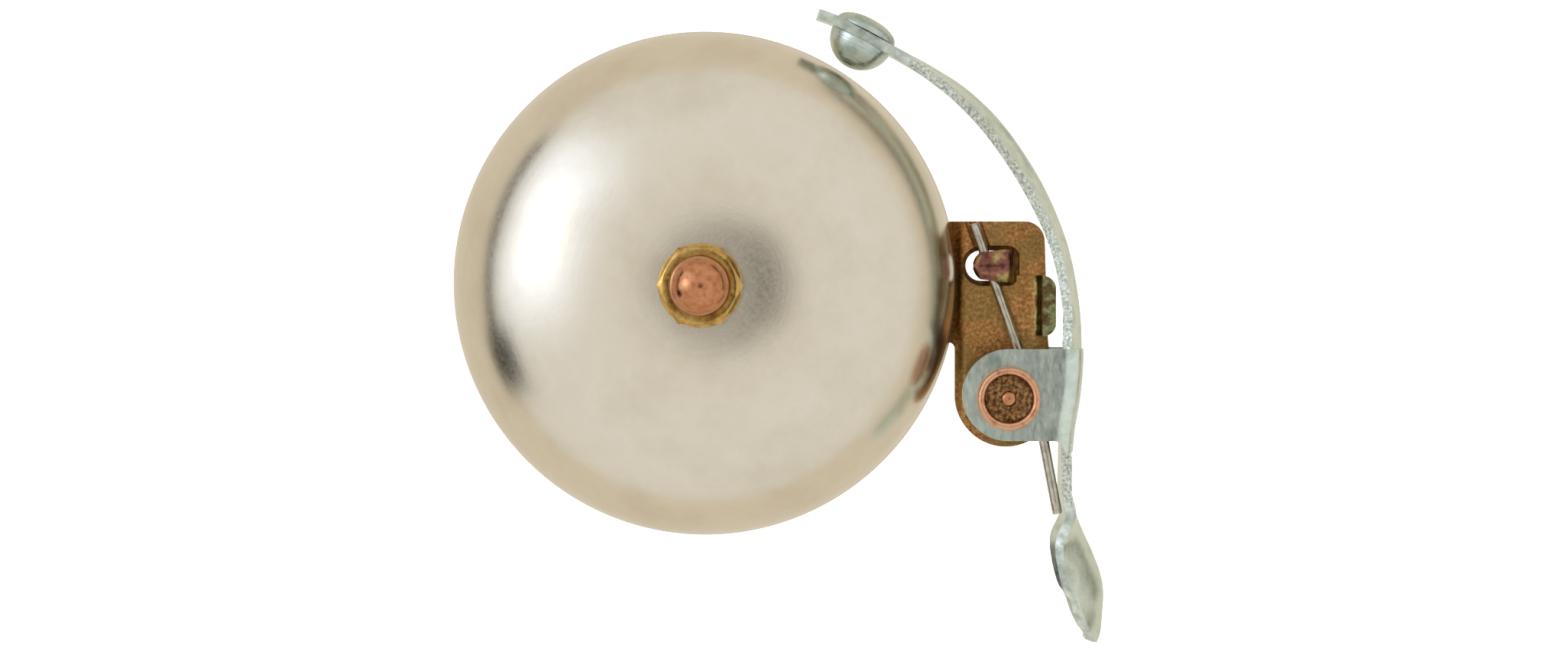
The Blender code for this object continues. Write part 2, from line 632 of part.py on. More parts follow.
def make_bracket():
    upper = joggle_path()
    blank = bent_sheet("bracket", upper, PIVOT.y - 9 * MM, STRIP_HIGH_Y + CUT, PLATE, YELLOW_ZINC)
    plan = prism("bracket_plan", bracket_outline(), STRIP_Z - CUT, PLATE_Z + 3 * CUT, collection=CUTTERS)
    bracket = combine(blank, plan, "INTERSECT")
    start, end = HOOK_SLOT
    half = HOOK_SLOT_WIDTH / 2
    slot_outline = arc((start + half, HOOK_Y), half, 90, 270, 12) + [(end, HOOK_Y - half), (end, HOOK_Y + half)]
    slot = cutter(prism("hook_slot", slot_outline, PLATE_Z - CUT, PLATE_Z + PLATE + CUT, collection=CUTTERS))
    bracket = combine(bracket, slot, "DIFFERENCE")
    bracket = combine(bracket, wire_groove(), "DIFFERENCE")
    low, high = PLATE_Z - CUT, PLATE_Z + PLATE + CUT
    pivot_hole = cylinder("plate_pivot_hole", RIVET_SHANK + RUNNING, low, high, (PIVOT.x, PIVOT.y))
    bracket = combine(bracket, pivot_hole, "DIFFERENCE")
    low, high = STRIP_Z - CUT, STRIP_Z + PLATE + CUT
    bolt_hole = cylinder("strip_bolt_hole", BOLT_RADIUS + SEAT, low, high, (0, 0))
    bracket = combine(bracket, bolt_hole, "DIFFERENCE")
    bracket = combine(bracket, stop_tab(), "UNION")
    return combine(bracket, make_hook(), "UNION")


def wire_groove():
    """The pressed groove that the spring's end lies over, from the hook's slot to the plate's upper edge."""
    start, direction = hook_leg()
    length = (start.y - HOOK_Y) / -direction.y
    bm = bmesh.new()
    bmesh.ops.create_cone(
        bm, cap_ends=True, segments=20, radius1=GROOVE_RADIUS, radius2=GROOVE_RADIUS, depth=length + 2 * CUT
    )
    mesh = bpy.data.meshes.new("wire_groove")
    bm.to_mesh(mesh)
    bm.free()
    groove = cutter(add_object("wire_groove", mesh, None, CUTTERS))
    middle = start + direction * (length / 2 - CUT)
    groove.rotation_euler = direction.to_track_quat("Z", "Y").to_euler()
    groove.location = (middle.x, middle.y, PLATE_Z + PLATE - GROOVE_DEPTH + GROOVE_RADIUS)
    return groove


# Return spring


def hook_leg():
    """Free end of the wire at the hook, and the leg's direction towards the coil."""
    direction = polar(HOOK_LEG_DEG, 1)
    touch = PIVOT + polar(HOOK_LEG_DEG + 90, COIL_RADIUS)
    return touch - direction * HOOK_LEG, direction


def spring_points():
    """The hook's leg, the coil winding clockwise as it climbs, and the paddle's leg."""
    start, direction = hook_leg()
    points = [start + direction * (HOOK_LEG * i / 6) for i in range(6)]
    points = [Vector((p.x, p.y, WIRE_LOW_Z)) for p in points]
    first = HOOK_LEG_DEG + 90
    sweep = 360 * COIL_TURNS + HOOK_LEG_DEG - PADDLE_LEG_DEG
    steps = 24 * COIL_TURNS
    for i in range(steps + 1):
        t = i / steps
        point = PIVOT + polar(first - sweep * t, COIL_RADIUS)
        points.append(Vector((point.x, point.y, WIRE_LOW_Z + (WIRE_HIGH_Z - WIRE_LOW_Z) * t)))
    out = polar(PADDLE_LEG_DEG, 1)
    end = points[-1]
    points += [end + out * (PADDLE_LEG * i / 4) for i in range(1, 5)]
    return points


def make_spring():
    curve = bpy.data.curves.new("return_spring", "CURVE")
    curve.dimensions = "3D"
    curve.bevel_depth = WIRE / 2
    curve.bevel_resolution = 2
    curve.use_fill_caps = True
    points = spring_points()
    spline = curve.splines.new("POLY")
    spline.points.add(len(points) - 1)
    for point, place in zip(spline.points, points):
        point.co = (*place, 1)
    return add_object("return_spring", curve, SPRING_STEEL)


# Lever and striker


def from_rim(bearing, x, y, *rest):
    rim = polar(bearing, DOME_RADIUS)
    half, depth, rise, spoon = rest
    return [rim.x + x * MM, rim.y + y * MM, half * MM, depth * MM, rise * MM, spoon]


STATIONS = [from_rim(*row) for row in RIM_STATIONS]


def station(t):
    """The lever's station values at t, from 0 at the tip to 1 at the paddle's end, on a smooth curve."""
    last = len(STATIONS) - 1
    at = min(max(t, 0), 1) * last
    i = min(int(at), last - 1)
    f = at - i
    p0, p1, p2, p3 = (STATIONS[min(max(i + k, 0), last)] for k in (-1, 0, 1, 2))
    values = []
    for a, b, c, d in zip(p0, p1, p2, p3):
        slope_b, slope_c = (c - a) / 2, (d - b) / 2
        rise = c - b
        values.append(b + f * slope_b + f * f * (3 * rise - 2 * slope_b - slope_c) + f**3 * (slope_b + slope_c - 2 * rise))
    return values


def spine(t):
    """Place on the spine and the outward direction there."""
    step = 1e-4
    x, y = station(t)[:2]
    x0, y0 = station(t - step)[:2]
    x1, y1 = station(t + step)[:2]
    dx, dy = x1 - x0, y1 - y0
    length = hypot(dx, dy)
    return Vector((x, y, 0)), Vector((-dy / length, dx / length, 0))


def section_depth(v, spoon):
    """How far the sheet lies behind the spine at v across it, as a share of the edge's depth. The arm is curled
    with a raised rib along its middle, and the paddle is a spoon."""
    u = min(abs(v) / RIB_WIDTH, 1)
    arm = ((1 - RIB_SHARE) * v * v + RIB_SHARE * u * u * (3 - 2 * u)) * (1 if v > 0 else LOWER_CURL)
    return (1 - spoon) * arm + spoon * sin(pi / 2 * v) ** 2


def make_ribbon():
    """The lever's strip: a grid over its outer face, given its thickness inwards."""
    rows = RIBBON_STEPS * (len(STATIONS) - 1)
    columns = RIBBON_COLUMNS
    points = []
    for i in range(rows + 1):
        t = i / rows
        half, depth, rise, spoon = station(t)[2:]
        place, outward = spine(t)
        for j in range(columns + 1):
            v = 2 * j / columns - 1
            point = place - outward * depth * section_depth(v, min(max(spoon, 0), 1))
            points.append((point.x, point.y, LEVER_MID + rise + v * half))
    across = columns + 1
    faces = []
    for i in range(rows):
        for j in range(columns):
            corner = i * across + j
            faces.append((corner, corner + 1, corner + across + 1, corner + across))
    mesh = bpy.data.meshes.new("lever_ribbon")
    mesh.from_pydata(points, [], faces)
    ribbon = add_object("lever_grid", mesh, None, CUTTERS)
    solid = ribbon.modifiers.new("sheet", "SOLIDIFY")
    solid.thickness = SHEET
    solid.offset = -1
    solid.use_even_offset = True
    return made_mesh(ribbon, "lever", BLUE_ZINC)


def make_clevis():
    """The two cheeks and the web between them."""
    left = PIVOT.x - CHEEK_RADIUS - CUT
    bend_x = WEB_FACE - WEB_BEND
    path = [(left, LEVER_TOP)]
    path += arc((bend_x, LEVER_TOP - WEB_BEND), WEB_BEND, 90, 0, 6)
    path += arc((bend_x, LEVER_BOTTOM + WEB_BEND), WEB_BEND, 0, -90, 6)
    path += [(left, LEVER_BOTTOM)]
    centre = (PIVOT.x, PIVOT.y + CHEEK_RISE)
    low, high = centre[1] - CHEEK_RADIUS - CUT, centre[1] + CHEEK_RADIUS + CUT
    channel = bent_sheet("clevis", path, low, high, SHEET, collection=CUTTERS)
    outline = arc(centre, CHEEK_RADIUS, 90, 270, 24)
    outline += [(WEB_FACE + CUT, centre[1] - CHEEK_RADIUS), (WEB_FACE + CUT, centre[1] + CHEEK_RADIUS)]
    plan = prism("clevis_plan", outline, LEVER_BOTTOM - CUT, LEVER_TOP + CUT, collection=CUTTERS)
    return combine(channel, plan, "INTERSECT")


def along_normal(obj, place, outward, height):
    """Stands a piece made about Z on the lever's face."""
    turn = outward.to_track_quat("Z", "Y").to_matrix().to_4x4()
    obj.matrix_world = Matrix.Translation(Vector((place.x, place.y, height))) @ turn
    return obj


def striker_seat():
    """Middle of the sheet at the striker, the outward direction and the height."""
    place, outward = spine(STRIKER_AT)
    return place - outward * SHEET / 2, outward, LEVER_MID + station(STRIKER_AT)[4]


def make_lever():
    lever = combine(make_ribbon(), make_clevis(), "UNION")
    low, high = LEVER_BOTTOM - CUT, LEVER_TOP + CUT
    pivot_hole = cylinder("cheek_holes", RIVET_SHANK + RUNNING, low, high, (PIVOT.x, PIVOT.y))
    lever = combine(lever, pivot_hole, "DIFFERENCE")
    shank_hole = cylinder("striker_hole", STRIKER_SHANK + SEAT, -CUT, CUT, (0, 0), 24)
    along_normal(shank_hole, *striker_seat())
    return combine(lever, shank_hole, "DIFFERENCE")


def make_striker():
    """A ball with its outer side riveted flat, split by the strip that it grips."""
    face = SHEET / 2 + SEAT
    angle = degrees(acos((face - STRIKER_DROP) / STRIKER_RADIUS))
    inner = arc((0, -STRIKER_DROP), STRIKER_RADIUS, angle - 90, -90, 12)
    cap_radius = STRIKER_RADIUS * 0.97
    cap_rise = STRIKER_CAP - face
    steps = 8
    cap = []
    for i in range(steps + 1):
        a = pi / 2 * i / steps
        cap.append((cap_radius * sin(a) ** 0.8, face + cap_rise * cos(a)))
    neck = [(STRIKER_SHANK, face), (STRIKER_SHANK, -face)]
    profile = [*cap, *neck, *inner]
    profile[-1] = (0, profile[-1][1])
    striker = turned("striker", profile, BLUE_ZINC, closed=False, steps=36)
    return along_normal(striker, *striker_seat())


def make_pivot():
    """Semi-tubular rivet, its end rolled over on the upper cheek, and the washer above the lower cheek."""
    head_low = LEVER_BOTTOM - SEAT - RIVET_HEAD_HEIGHT
    roll_low = LEVER_TOP + SEAT
    roll_top = roll_low + RIVET_ROLL
    roll_mid = (RIVET_HEAD + RIVET_MOUTH) / 2
    roll_radius = (RIVET_HEAD - RIVET_MOUTH) / 2
    bore_low = roll_top - RIVET_BORE_DEPTH
    head_round = 0.5 * MM
    profile = [(0, bore_low), (RIVET_BORE, bore_low), (RIVET_BORE, roll_low - 0.2 * MM)]
    profile += arc((roll_mid, roll_top - roll_radius), roll_radius, 180, 0, 8)
    profile += [(RIVET_HEAD, roll_low + 0.1 * MM), (RIVET_HEAD - 0.1 * MM, roll_low), (RIVET_SHANK, roll_low)]
    profile += [(RIVET_SHANK, LEVER_BOTTOM - SEAT), (RIVET_HEAD, LEVER_BOTTOM - SEAT)]
    profile += arc((RIVET_HEAD - head_round, head_low + head_round), head_round, 0, -90, 3)
    profile += [(0, head_low)]
    turned("pivot_rivet", profile, COPPER, closed=False, base=(PIVOT.x, PIVOT.y, 0))
    at = (PIVOT.x, PIVOT.y, PIVOT_WASHER_Z)
    return washer("pivot_washer", PIVOT_WASHER_RADIUS, RIVET_SHANK + RUNNING, PIVOT_WASHER, at, STEEL)


def main():
    make_dome()
    make_centre_bolt()
    make_cap_nut()
    make_stack()
    make_band()
    make_liner()
    make_clamp_screw()
    make_bracket()
    make_spring()
    make_lever()
    make_striker()
    make_pivot()
    for obj in PARTS.objects:
        if obj.type == "MESH" and not obj.modifiers:
            smooth(obj)


main()
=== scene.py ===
"""Lever-strike bicycle bell: the visual model, its materials, the light and the camera.

Metres, +Z up along the dome's axis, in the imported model's own frame.
"""

from math import acos, asin, cos, degrees, hypot, pi, radians, sin, sqrt

import bmesh
import bpy
from mathutils import Matrix, Vector


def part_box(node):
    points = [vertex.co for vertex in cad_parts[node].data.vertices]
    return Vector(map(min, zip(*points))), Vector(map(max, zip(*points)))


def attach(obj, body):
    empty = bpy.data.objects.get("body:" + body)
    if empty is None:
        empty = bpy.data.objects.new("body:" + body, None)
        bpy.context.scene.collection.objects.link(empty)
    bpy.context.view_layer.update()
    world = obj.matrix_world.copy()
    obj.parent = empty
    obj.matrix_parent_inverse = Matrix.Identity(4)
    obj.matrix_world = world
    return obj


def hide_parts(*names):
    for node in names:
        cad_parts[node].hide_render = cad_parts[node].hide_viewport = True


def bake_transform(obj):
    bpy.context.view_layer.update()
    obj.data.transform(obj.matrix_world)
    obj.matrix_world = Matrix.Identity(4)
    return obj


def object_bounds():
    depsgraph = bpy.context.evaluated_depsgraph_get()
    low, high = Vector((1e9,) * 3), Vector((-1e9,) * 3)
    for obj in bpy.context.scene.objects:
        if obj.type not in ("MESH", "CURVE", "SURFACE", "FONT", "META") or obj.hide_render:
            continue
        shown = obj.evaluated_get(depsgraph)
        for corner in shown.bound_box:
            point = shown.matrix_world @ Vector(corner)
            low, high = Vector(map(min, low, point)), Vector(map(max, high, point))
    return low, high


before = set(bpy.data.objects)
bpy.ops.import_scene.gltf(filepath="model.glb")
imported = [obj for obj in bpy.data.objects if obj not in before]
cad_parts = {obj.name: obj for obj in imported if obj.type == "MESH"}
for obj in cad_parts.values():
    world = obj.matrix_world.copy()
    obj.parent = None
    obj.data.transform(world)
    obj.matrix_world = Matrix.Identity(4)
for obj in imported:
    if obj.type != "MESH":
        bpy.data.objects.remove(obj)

CAD_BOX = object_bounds()
MM = 0.001
CUT = 2 * MM  # how far a cutter runs past what it cuts
SCENE = bpy.context.scene


# Places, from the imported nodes


def low(node):
    """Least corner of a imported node's box."""
    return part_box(node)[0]


def high(node):
    """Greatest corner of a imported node's box."""
    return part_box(node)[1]


def centre(node):
    return (low(node) + high(node)) / 2


DOME_RADIUS = high("dome").x
RIM_Z = low("dome").z
APEX_Z = high("dome").z
DOME_WALL = 1.1 * MM
DOME_SKIRT = 2.5 * MM
DOME_DRAFT = 0.3 * MM
DOME_FLAT_RADIUS = 4.4 * MM

BORE = 2.8 * MM  # what goes over the centre bolt
BOLT_RADIUS = 2.5 * MM
BOLT_NECK = 2.5 * MM  # half the side of the square neck
CLAMP_SCREW_HOLE = 2.3 * MM
CAP_NUT_Z = low("cap_nut_body").z
CAP_NUT_TOP = high("cap_nut_body").z
CAP_NUT_FLATS = 2 * high("cap_nut_body").y
CROWN_Z = low("cap_nut_crown").z
CROWN_TOP = high("cap_nut_crown").z
CROWN_RADIUS = high("cap_nut_crown").x

PLATE = 1.5 * MM
STRIP_Z = low("bracket").z
STRIP_LOW_Y = -6.5 * MM
STRIP_HIGH_Y = high("bracket").y
JOGGLE = 1.8 * MM
JOGGLE_RUN = 2.6 * MM
PLATE_Z = STRIP_Z + JOGGLE
PLATE_TOP = PLATE_Z + PLATE
PLATE_RIGHT = DOME_RADIUS + 9.65 * MM
PLATE_CORNER = 2.2 * MM
LOBE_RADIUS = 5.5 * MM
NOTCH_RADIUS = 0.7 * MM
TAB_LOW_Y = -5.7 * MM
TAB_HIGH_Y = 0.9 * MM
TAB_FACE = DOME_RADIUS + 10.6 * MM
TAB_CORNER = 1.5 * MM
TAB_TOP = high("bracket").z
TAB_BEND = 1.1 * MM
HOOK_Y = 1.95 * MM
HOOK_WIDTH = 3.6 * MM
HOOK_WALL = 1.1 * MM
HOOK_ROOT = DOME_RADIUS + 6.4 * MM
HOOK_TIP = DOME_RADIUS + 1.7 * MM
HOOK_SLOT = (DOME_RADIUS + 1 * MM, DOME_RADIUS + 5.9 * MM)
HOOK_SLOT_WIDTH = 3.3 * MM
DENT = 0.4 * MM  # depth of the dent round the hook
INSET = 0.03 * MM  # keeps joined faces off the same plane

PIVOT = Vector((centre("pivot_rivet").x, centre("pivot_rivet").y, 0))
RIVET_SHANK = 2.1 * MM
RIVET_HOLE = RIVET_SHANK + 0.08 * MM
RIVET_HEAD = 3.42 * MM
RIVET_RECESS = 2.58 * MM
RIVET_BUMP = 0.85 * MM
RIVET_TOP = high("pivot_rivet").z
RIVET_LOW = low("pivot_rivet").z

WIRE = 1.1 * MM
COIL_RADIUS = 3 * MM
COIL_TURNS = 2
WIRE_LOW_Z = low("return_spring").z + WIRE / 2
WIRE_HIGH_Z = high("return_spring").z - WIRE / 2
HOOK_LEG_DEG = -70.4
PADDLE_LEG_DEG = -79.2
HOOK_LEG = 19 * MM
PADDLE_LEG = 13.4 * MM
SEAT = 0.3 * MM  # between two pieces that rest on each other

SHEET = 1.1 * MM
CHEEK_RADIUS = 4.97 * MM
CHEEK_RISE = 0.35 * MM
WEB_FACE = PIVOT.x + 7.6 * MM
WEB_BEND = 2.2 * MM
LEVER_TOP = WIRE_HIGH_Z + WIRE / 2 + SEAT + SHEET
LEVER_BOTTOM = low("pivot_washer").z - SEAT - SHEET
LEVER_MID = (LEVER_TOP + LEVER_BOTTOM) / 2
RIB_SHARE = 0.35
RIB_WIDTH = 0.45
LOWER_CURL = 0.45
STRIKER_RADIUS = 3.5 * MM
STRIKER_DROP = 0.25 * MM
STRIKER_CAP = 2.1 * MM
STRIKER_SHANK = 1.4 * MM
STRIKER_AT = 0.091  # place on the spine, from 0 at the tip to 1
BURNISHED_FROM = 24 * MM  # the strip's edge is burnished beyond this y, at both ends

# The lever's spine, measured from points of the dome's rim, in millimetres: the point's bearing in
# degrees, the spine's x and y from it, half width, how far the edges curl in behind the spine, the middle's
# height above LEVER_MID, and the share of the paddle's spoon shape in the section.
RIM_STATIONS = [
    (58, -2.07, 6.43, 2.2, 0.02, 1.4, 0),
    (58, 0.03, 5.63, 2.3, 0.02, 1.4, 0),
    (56.5, 2.32, 4.42, 2.4, 0.02, 1.4, 0),
    (52, 4.37, 3.78, 2.5, 0.15, 1.35, 0),
    (46, 5.90, 3.67, 2.7, 0.6, 1.2, 0),
    (38, 7.13, 4.02, 2.9, 1.1, 1.0, 0),
    (29, 8.70, 3.67, 3.1, 1.4, 0.8, 0),
    (18, 10.55, 2.55, 3.3, 1.4, 0.5, 0),
    (8, 12.27, 0.67, 3.5, 1.15, 0.2, 0),
    (0, 13.35, -2.00, 3.6, 1.1, 0, 0),
    (0, 13.65, -7.50, 3.6, 1.4, 0, 0),
    (0, 13.35, -12.00, 3.6, 1.2, 0, 0),
    (0, 12.70, -16.00, 3.6, 0.5, 0, 0),
    (0, 12.45, -19.50, 3.5, 0.1, 0, 0.3),
    (0, 12.45, -22.60, 3.6, 0.1, 0, 1),
    (0, 13.05, -25.10, 4.3, 0.35, 0, 1),
    (0, 13.85, -27.10, 5.0, 2.9, 0, 1),
    (0, 14.80, -29.20, 5.4, 3.8, 0, 1),
    (0, 15.65, -31.40, 5.4, 4.1, 0, 1),
    (0, 16.05, -33.50, 5.1, 3.75, 0, 1),
    (0, 15.95, -35.90, 4.2, 2.8, 0, 1),
    (0, 15.75, -38.00, 3.0, 1.4, 0, 1),
    (0, 15.35, -39.20, 1.7, 0.6, 0, 1),
]
RIBBON_STEPS = 8  # between two stations
RIBBON_COLUMNS = 28


# Nodes and materials


def linear(hex_colour):
    """An sRGB hex colour as linear RGBA."""
    channels = [int(hex_colour[i : i + 2], 16) / 255 for i in (1, 3, 5)]
    return [c / 12.92 if c <= 0.04045 else ((c + 0.055) / 1.055) ** 2.4 for c in channels] + [1]


def add_node(tree, kind, inputs=None, **settings):
    """Adds a node. Inputs are by name or number, each a value or another node's output."""
    made = tree.nodes.new(kind)
    for name, value in settings.items():
        setattr(made, name, value)
    for key, value in (inputs or {}).items():
        if isinstance(value, bpy.types.NodeSocket):
            tree.links.new(value, made.inputs[key])
        else:
            made.inputs[key].default_value = value
    return made


def add_ramp(tree, factor, stops):
    """A colour ramp over (place, hex colour) stops."""
    ramp = add_node(tree, "ShaderNodeValToRGB", {"Fac": factor})
    elements = ramp.color_ramp.elements
    while len(elements) < len(stops):
        elements.new(0.5)
    for element, (place, colour) in zip(elements, stops):
        element.position = place
        element.color = linear(colour)
    return ramp.outputs["Color"]


def per_mm(size):
    """A texture's scale for a pattern of this many millimetres."""
    return 1 / (size * MM)


def cover(tree, colour, inside, tint, strength=1):
    """The colour so far, with a tint over it where inside is 1."""
    bright = [c * strength for c in linear(tint)[:3]] + [1]
    mix = add_node(tree, "ShaderNodeMix", data_type="RGBA")
    tree.links.new(inside, mix.inputs["Factor"])
    tree.links.new(colour, mix.inputs[6])
    mix.inputs[7].default_value = bright
    return mix.outputs[2]


def finish(
    name, stops, patch, rough, grain, bump, metallic=1.0, streaks=None, marks=None, wave=None, bloom=None
):
    """A worn surface: colour patches of one size, finer changes in roughness, and a fine bump.

    Stops are the colours over the patches, patch and grain are sizes in millimetres, rough is the range of
    roughness and bump is the bump's height in millimetres. Streaks stretches the grain along an axis. Marks
    are turned rings: their spacing in millimetres, their share of the bump, a point of the turning axis, and
    the axis itself when the rings lie along it and not across a flat face. Wave is the size and height of a
    slow unevenness. Bloom is the size, colour and share of a second colour in large soft patches.
    """
    material = bpy.data.materials.new(name)
    material.use_nodes = True
    tree = material.node_tree
    shader = tree.nodes["Principled BSDF"]
    shader.inputs["Metallic"].default_value = metallic
    place = add_node(tree, "ShaderNodeTexCoord").outputs["Object"]
    patches = add_node(
        tree, "ShaderNodeTexNoise", {"Vector": place, "Scale": per_mm(patch), "Detail": 5, "Roughness": 0.6}
    )
    colour = add_ramp(tree, patches.outputs["Fac"], stops)
    if bloom:
        size, tint, share = bloom
        cloud = add_node(tree, "ShaderNodeTexNoise", {"Vector": place, "Scale": per_mm(size), "Detail": 2})
        part = {"Value": cloud.outputs["Fac"], "From Min": 0.42, "From Max": 0.6, "To Max": share}
        amount = add_node(tree, "ShaderNodeMapRange", part, interpolation_type="SMOOTHSTEP")
        colour = cover(tree, colour, amount.outputs["Result"], tint)
    tree.links.new(colour, shader.inputs["Base Color"])
    stretch = add_node(tree, "ShaderNodeMapping", {"Vector": place, "Scale": streaks or (1, 1, 1)})
    fine = add_node(
        tree,
        "ShaderNodeTexNoise",
        {"Vector": stretch.outputs["Vector"], "Scale": per_mm(grain), "Detail": 6, "Roughness": 0.65},
    )
    limits = {"From Min": 0.3, "From Max": 0.7, "To Min": rough[0], "To Max": rough[1]}
    spread = add_node(tree, "ShaderNodeMapRange", {"Value": fine.outputs["Fac"], **limits})
    tree.links.new(spread.outputs["Result"], shader.inputs["Roughness"])
    height = fine.outputs["Fac"]
    if marks:
        spacing, share, middle, axis = marks
        away = add_node(tree, "ShaderNodeVectorMath", {0: place, 1: middle}, operation="SUBTRACT")
        away = away.outputs[0]
        if axis:
            radius = add_node(tree, "ShaderNodeVectorMath", {0: away, 1: axis}, operation="DOT_PRODUCT")
        else:
            flat = add_node(tree, "ShaderNodeVectorMath", {0: away, 1: (1, 1, 0)}, operation="MULTIPLY")
            radius = add_node(tree, "ShaderNodeVectorMath", {0: flat.outputs[0]}, operation="LENGTH")
        rings = add_node(
            tree,
            "ShaderNodeTexNoise",
            {"W": radius.outputs["Value"], "Scale": per_mm(spacing), "Detail": 3},
            noise_dimensions="1D",
        )
        scaled = add_node(
            tree, "ShaderNodeMath", {0: rings.outputs["Fac"], 1: share, 2: height}, operation="MULTIPLY_ADD"
        )
        height = scaled.outputs["Value"]
    relief = add_node(tree, "ShaderNodeBump", {"Height": height, "Strength": 1.0, "Distance": bump * MM})
    if wave:
        size, rise = wave
        slow = add_node(tree, "ShaderNodeTexNoise", {"Vector": place, "Scale": per_mm(size), "Detail": 1})
        under = add_node(
            tree, "ShaderNodeBump", {"Height": slow.outputs["Fac"], "Strength": 1.0, "Distance": rise * MM}
        )
        tree.links.new(under.outputs["Normal"], relief.inputs["Normal"])
    tree.links.new(relief.outputs["Normal"], shader.inputs["Normal"])
    return material


# Brass spun over a former and plated with satin nickel: warm silver, with the former's rings and fine grain.
SATIN_NICKEL = finish(
    "satin_nickel_on_spun_brass",
    [(0.3, "#D9D1C0"), (0.55, "#E2DBCC"), (0.75, "#DDD5C6")],
    patch=9,
    rough=(0.19, 0.26),
    grain=0.35,
    bump=0.006,
    marks=(0.5, 0.5, (0, 0, 0), None),
)
# Yellow-passivated zinc on a stamped steel plate: brown gold, dull and grainy.
YELLOW_ZINC = finish(
    "yellow_chromate_zinc",
    [(0.3, "#7A5430"), (0.44, "#A27244"), (0.54, "#B8844E"), (0.66, "#CDA66E")],
    patch=0.38,
    rough=(0.24, 0.4),
    grain=0.3,
    bump=0.035,
    wave=(3.5, 0.22),
    bloom=(5, "#7C7444", 0.45),
)
# The same plate, darkened to deep brown: painted shade on the dent's floor round the hook.
DENT_SHADE_ZINC = finish(
    "chromate_zinc_painted_dent_shade",
    [(0.35, "#3E2614"), (0.5, "#5C3C20"), (0.65, "#7A5430")],
    patch=0.8,
    rough=(0.3, 0.5),
    grain=0.3,
    bump=0.03,
)
# The same passivation where it ran thick over a formed edge: bright green, gold and purple.
BLOOM_ZINC = finish(
    "thick_chromate_bloom",
    [(0.36, "#5A3A34"), (0.46, "#8C5C50"), (0.52, "#A88458"), (0.58, "#A8A868"), (0.68, "#6E8458")],
    patch=2.6,
    rough=(0.16, 0.28),
    grain=0.4,
    bump=0.012,
)
# The same where it drained off the stop tab: pale green and gold, its lightest stops a painted highlight
# along the tab's bend.
GREEN_BLOOM_AND_HIGHLIGHT_ZINC = finish(
    "thin_green_chromate_and_painted_highlight",
    [(0.34, "#6A5440"), (0.44, "#94825A"), (0.53, "#B9C08A"), (0.62, "#8A9A62")],
    patch=1.7,
    rough=(0.16, 0.28),
    grain=0.4,
    bump=0.012,
)
# Blue-passivated zinc on rolled strip: cold pale silver with a green cast and faint streaks along the strip.
BLUE_ZINC = finish(
    "blue_passivated_zinc",
    [(0.3, "#BECDC3"), (0.5, "#DBE7DE"), (0.66, "#CBD9D3")],
    patch=3,
    rough=(0.18, 0.3),
    grain=0.45,
    bump=0.01,
    streaks=(1, 0.3, 1),
    wave=(5, 0.14),
)
# The same zinc over a sheared edge: paler, torn and matte.
SHEARED_ZINC = finish(
    "zinc_on_sheared_edge",
    [(0.36, "#949C94"), (0.45, "#BBC4BA"), (0.54, "#D3DAD1"), (0.66, "#EEF2EC")],
    patch=0.3,
    rough=(0.25, 0.42),
    grain=0.16,
    bump=0.05,
)
# Sheared edge that the forming tool burnished: nearly smooth, and dulled by the zinc's white bloom.
BURNISHED_ZINC = finish(
    "zinc_on_burnished_edge",
    [(0.34, "#A9B3AA"), (0.5, "#C4CEC5"), (0.66, "#DFE6DE")],
    patch=1.2,
    rough=(0.3, 0.44),
    grain=0.2,
    bump=0.012,
    metallic=0.6,
)
# Copper plate on the pressed crown: half bright, with brown tarnish in spots.
COPPER = finish(
    "tarnished_copper_plate",
    [(0.34, "#AE7450"), (0.45, "#BE8059"), (0.58, "#CC9068"), (0.7, "#BA8860")],
    patch=0.8,
    rough=(0.12, 0.2),
    grain=0.4,
    bump=0.012,
)
# Copper plate on the rolled rivet, rubbed pale by the rolling tool.
RUBBED_COPPER = finish(
    "rubbed_copper_rivet",
    [(0.32, "#B98262"), (0.5, "#DDA888"), (0.68, "#D8AA80")],
    patch=0.9,
    rough=(0.2, 0.36),
    grain=0.3,
    bump=0.02,
)
# Inside of the rolled rivet: oxidised copper, brown and rough.
OXIDISED_COPPER = finish(
    "oxidised_copper",
    [(0.32, "#3A2412"), (0.46, "#6E4C2C"), (0.58, "#9A7650"), (0.7, "#C29468")],
    patch=0.4,
    rough=(0.35, 0.6),
    grain=0.22,
    bump=0.05,
)
# Yellow-passivated nut: old gold in soft patches.
GOLD_ZINC = finish(
    "gold_chromate_nut",
    [(0.3, "#86602E"), (0.45, "#B78E4C"), (0.58, "#CDAA66"), (0.72, "#A68A4A")],
    patch=1.8,
    rough=(0.1, 0.2),
    grain=0.4,
    bump=0.012,
)
# Hard-drawn spring wire: bright, with die lines along it.
SPRING_STEEL = finish(
    "hard_drawn_wire",
    [(0.3, "#9C958A"), (0.55, "#C8C2B6"), (0.75, "#B4AA9A")],
    patch=1.2,
    rough=(0.14, 0.26),
    grain=0.3,
    bump=0.008,
    streaks=(1, 0.15, 1),
)
# Turned mild steel, oiled: mid grey.
PLAIN_STEEL = finish(
    "turned_steel",
    [(0.35, "#83827E"), (0.55, "#A3A29D"), (0.7, "#929089")],
    patch=2,
    rough=(0.28, 0.42),
    grain=0.4,
    bump=0.015,
)
# Moulded EPDM sleeve: black, with a dusty grey bloom.
RUBBER = finish(
    "moulded_rubber",
    [(0.35, "#17171A"), (0.6, "#232326"), (0.8, "#34342F")],
    patch=4,
    rough=(0.55, 0.8),
    grain=0.35,
    bump=0.03,
    metallic=0.0,
)
# Vulcanised fibre washer: red brown and papery.
RED_FIBRE = finish(
    "vulcanised_fibre",
    [(0.35, "#6E2A1C"), (0.6, "#8A3A28"), (0.8, "#7A3324")],
    patch=1.2,
    rough=(0.6, 0.85),
    grain=0.3,
    bump=0.03,
    metallic=0.0,
)


# Shapes


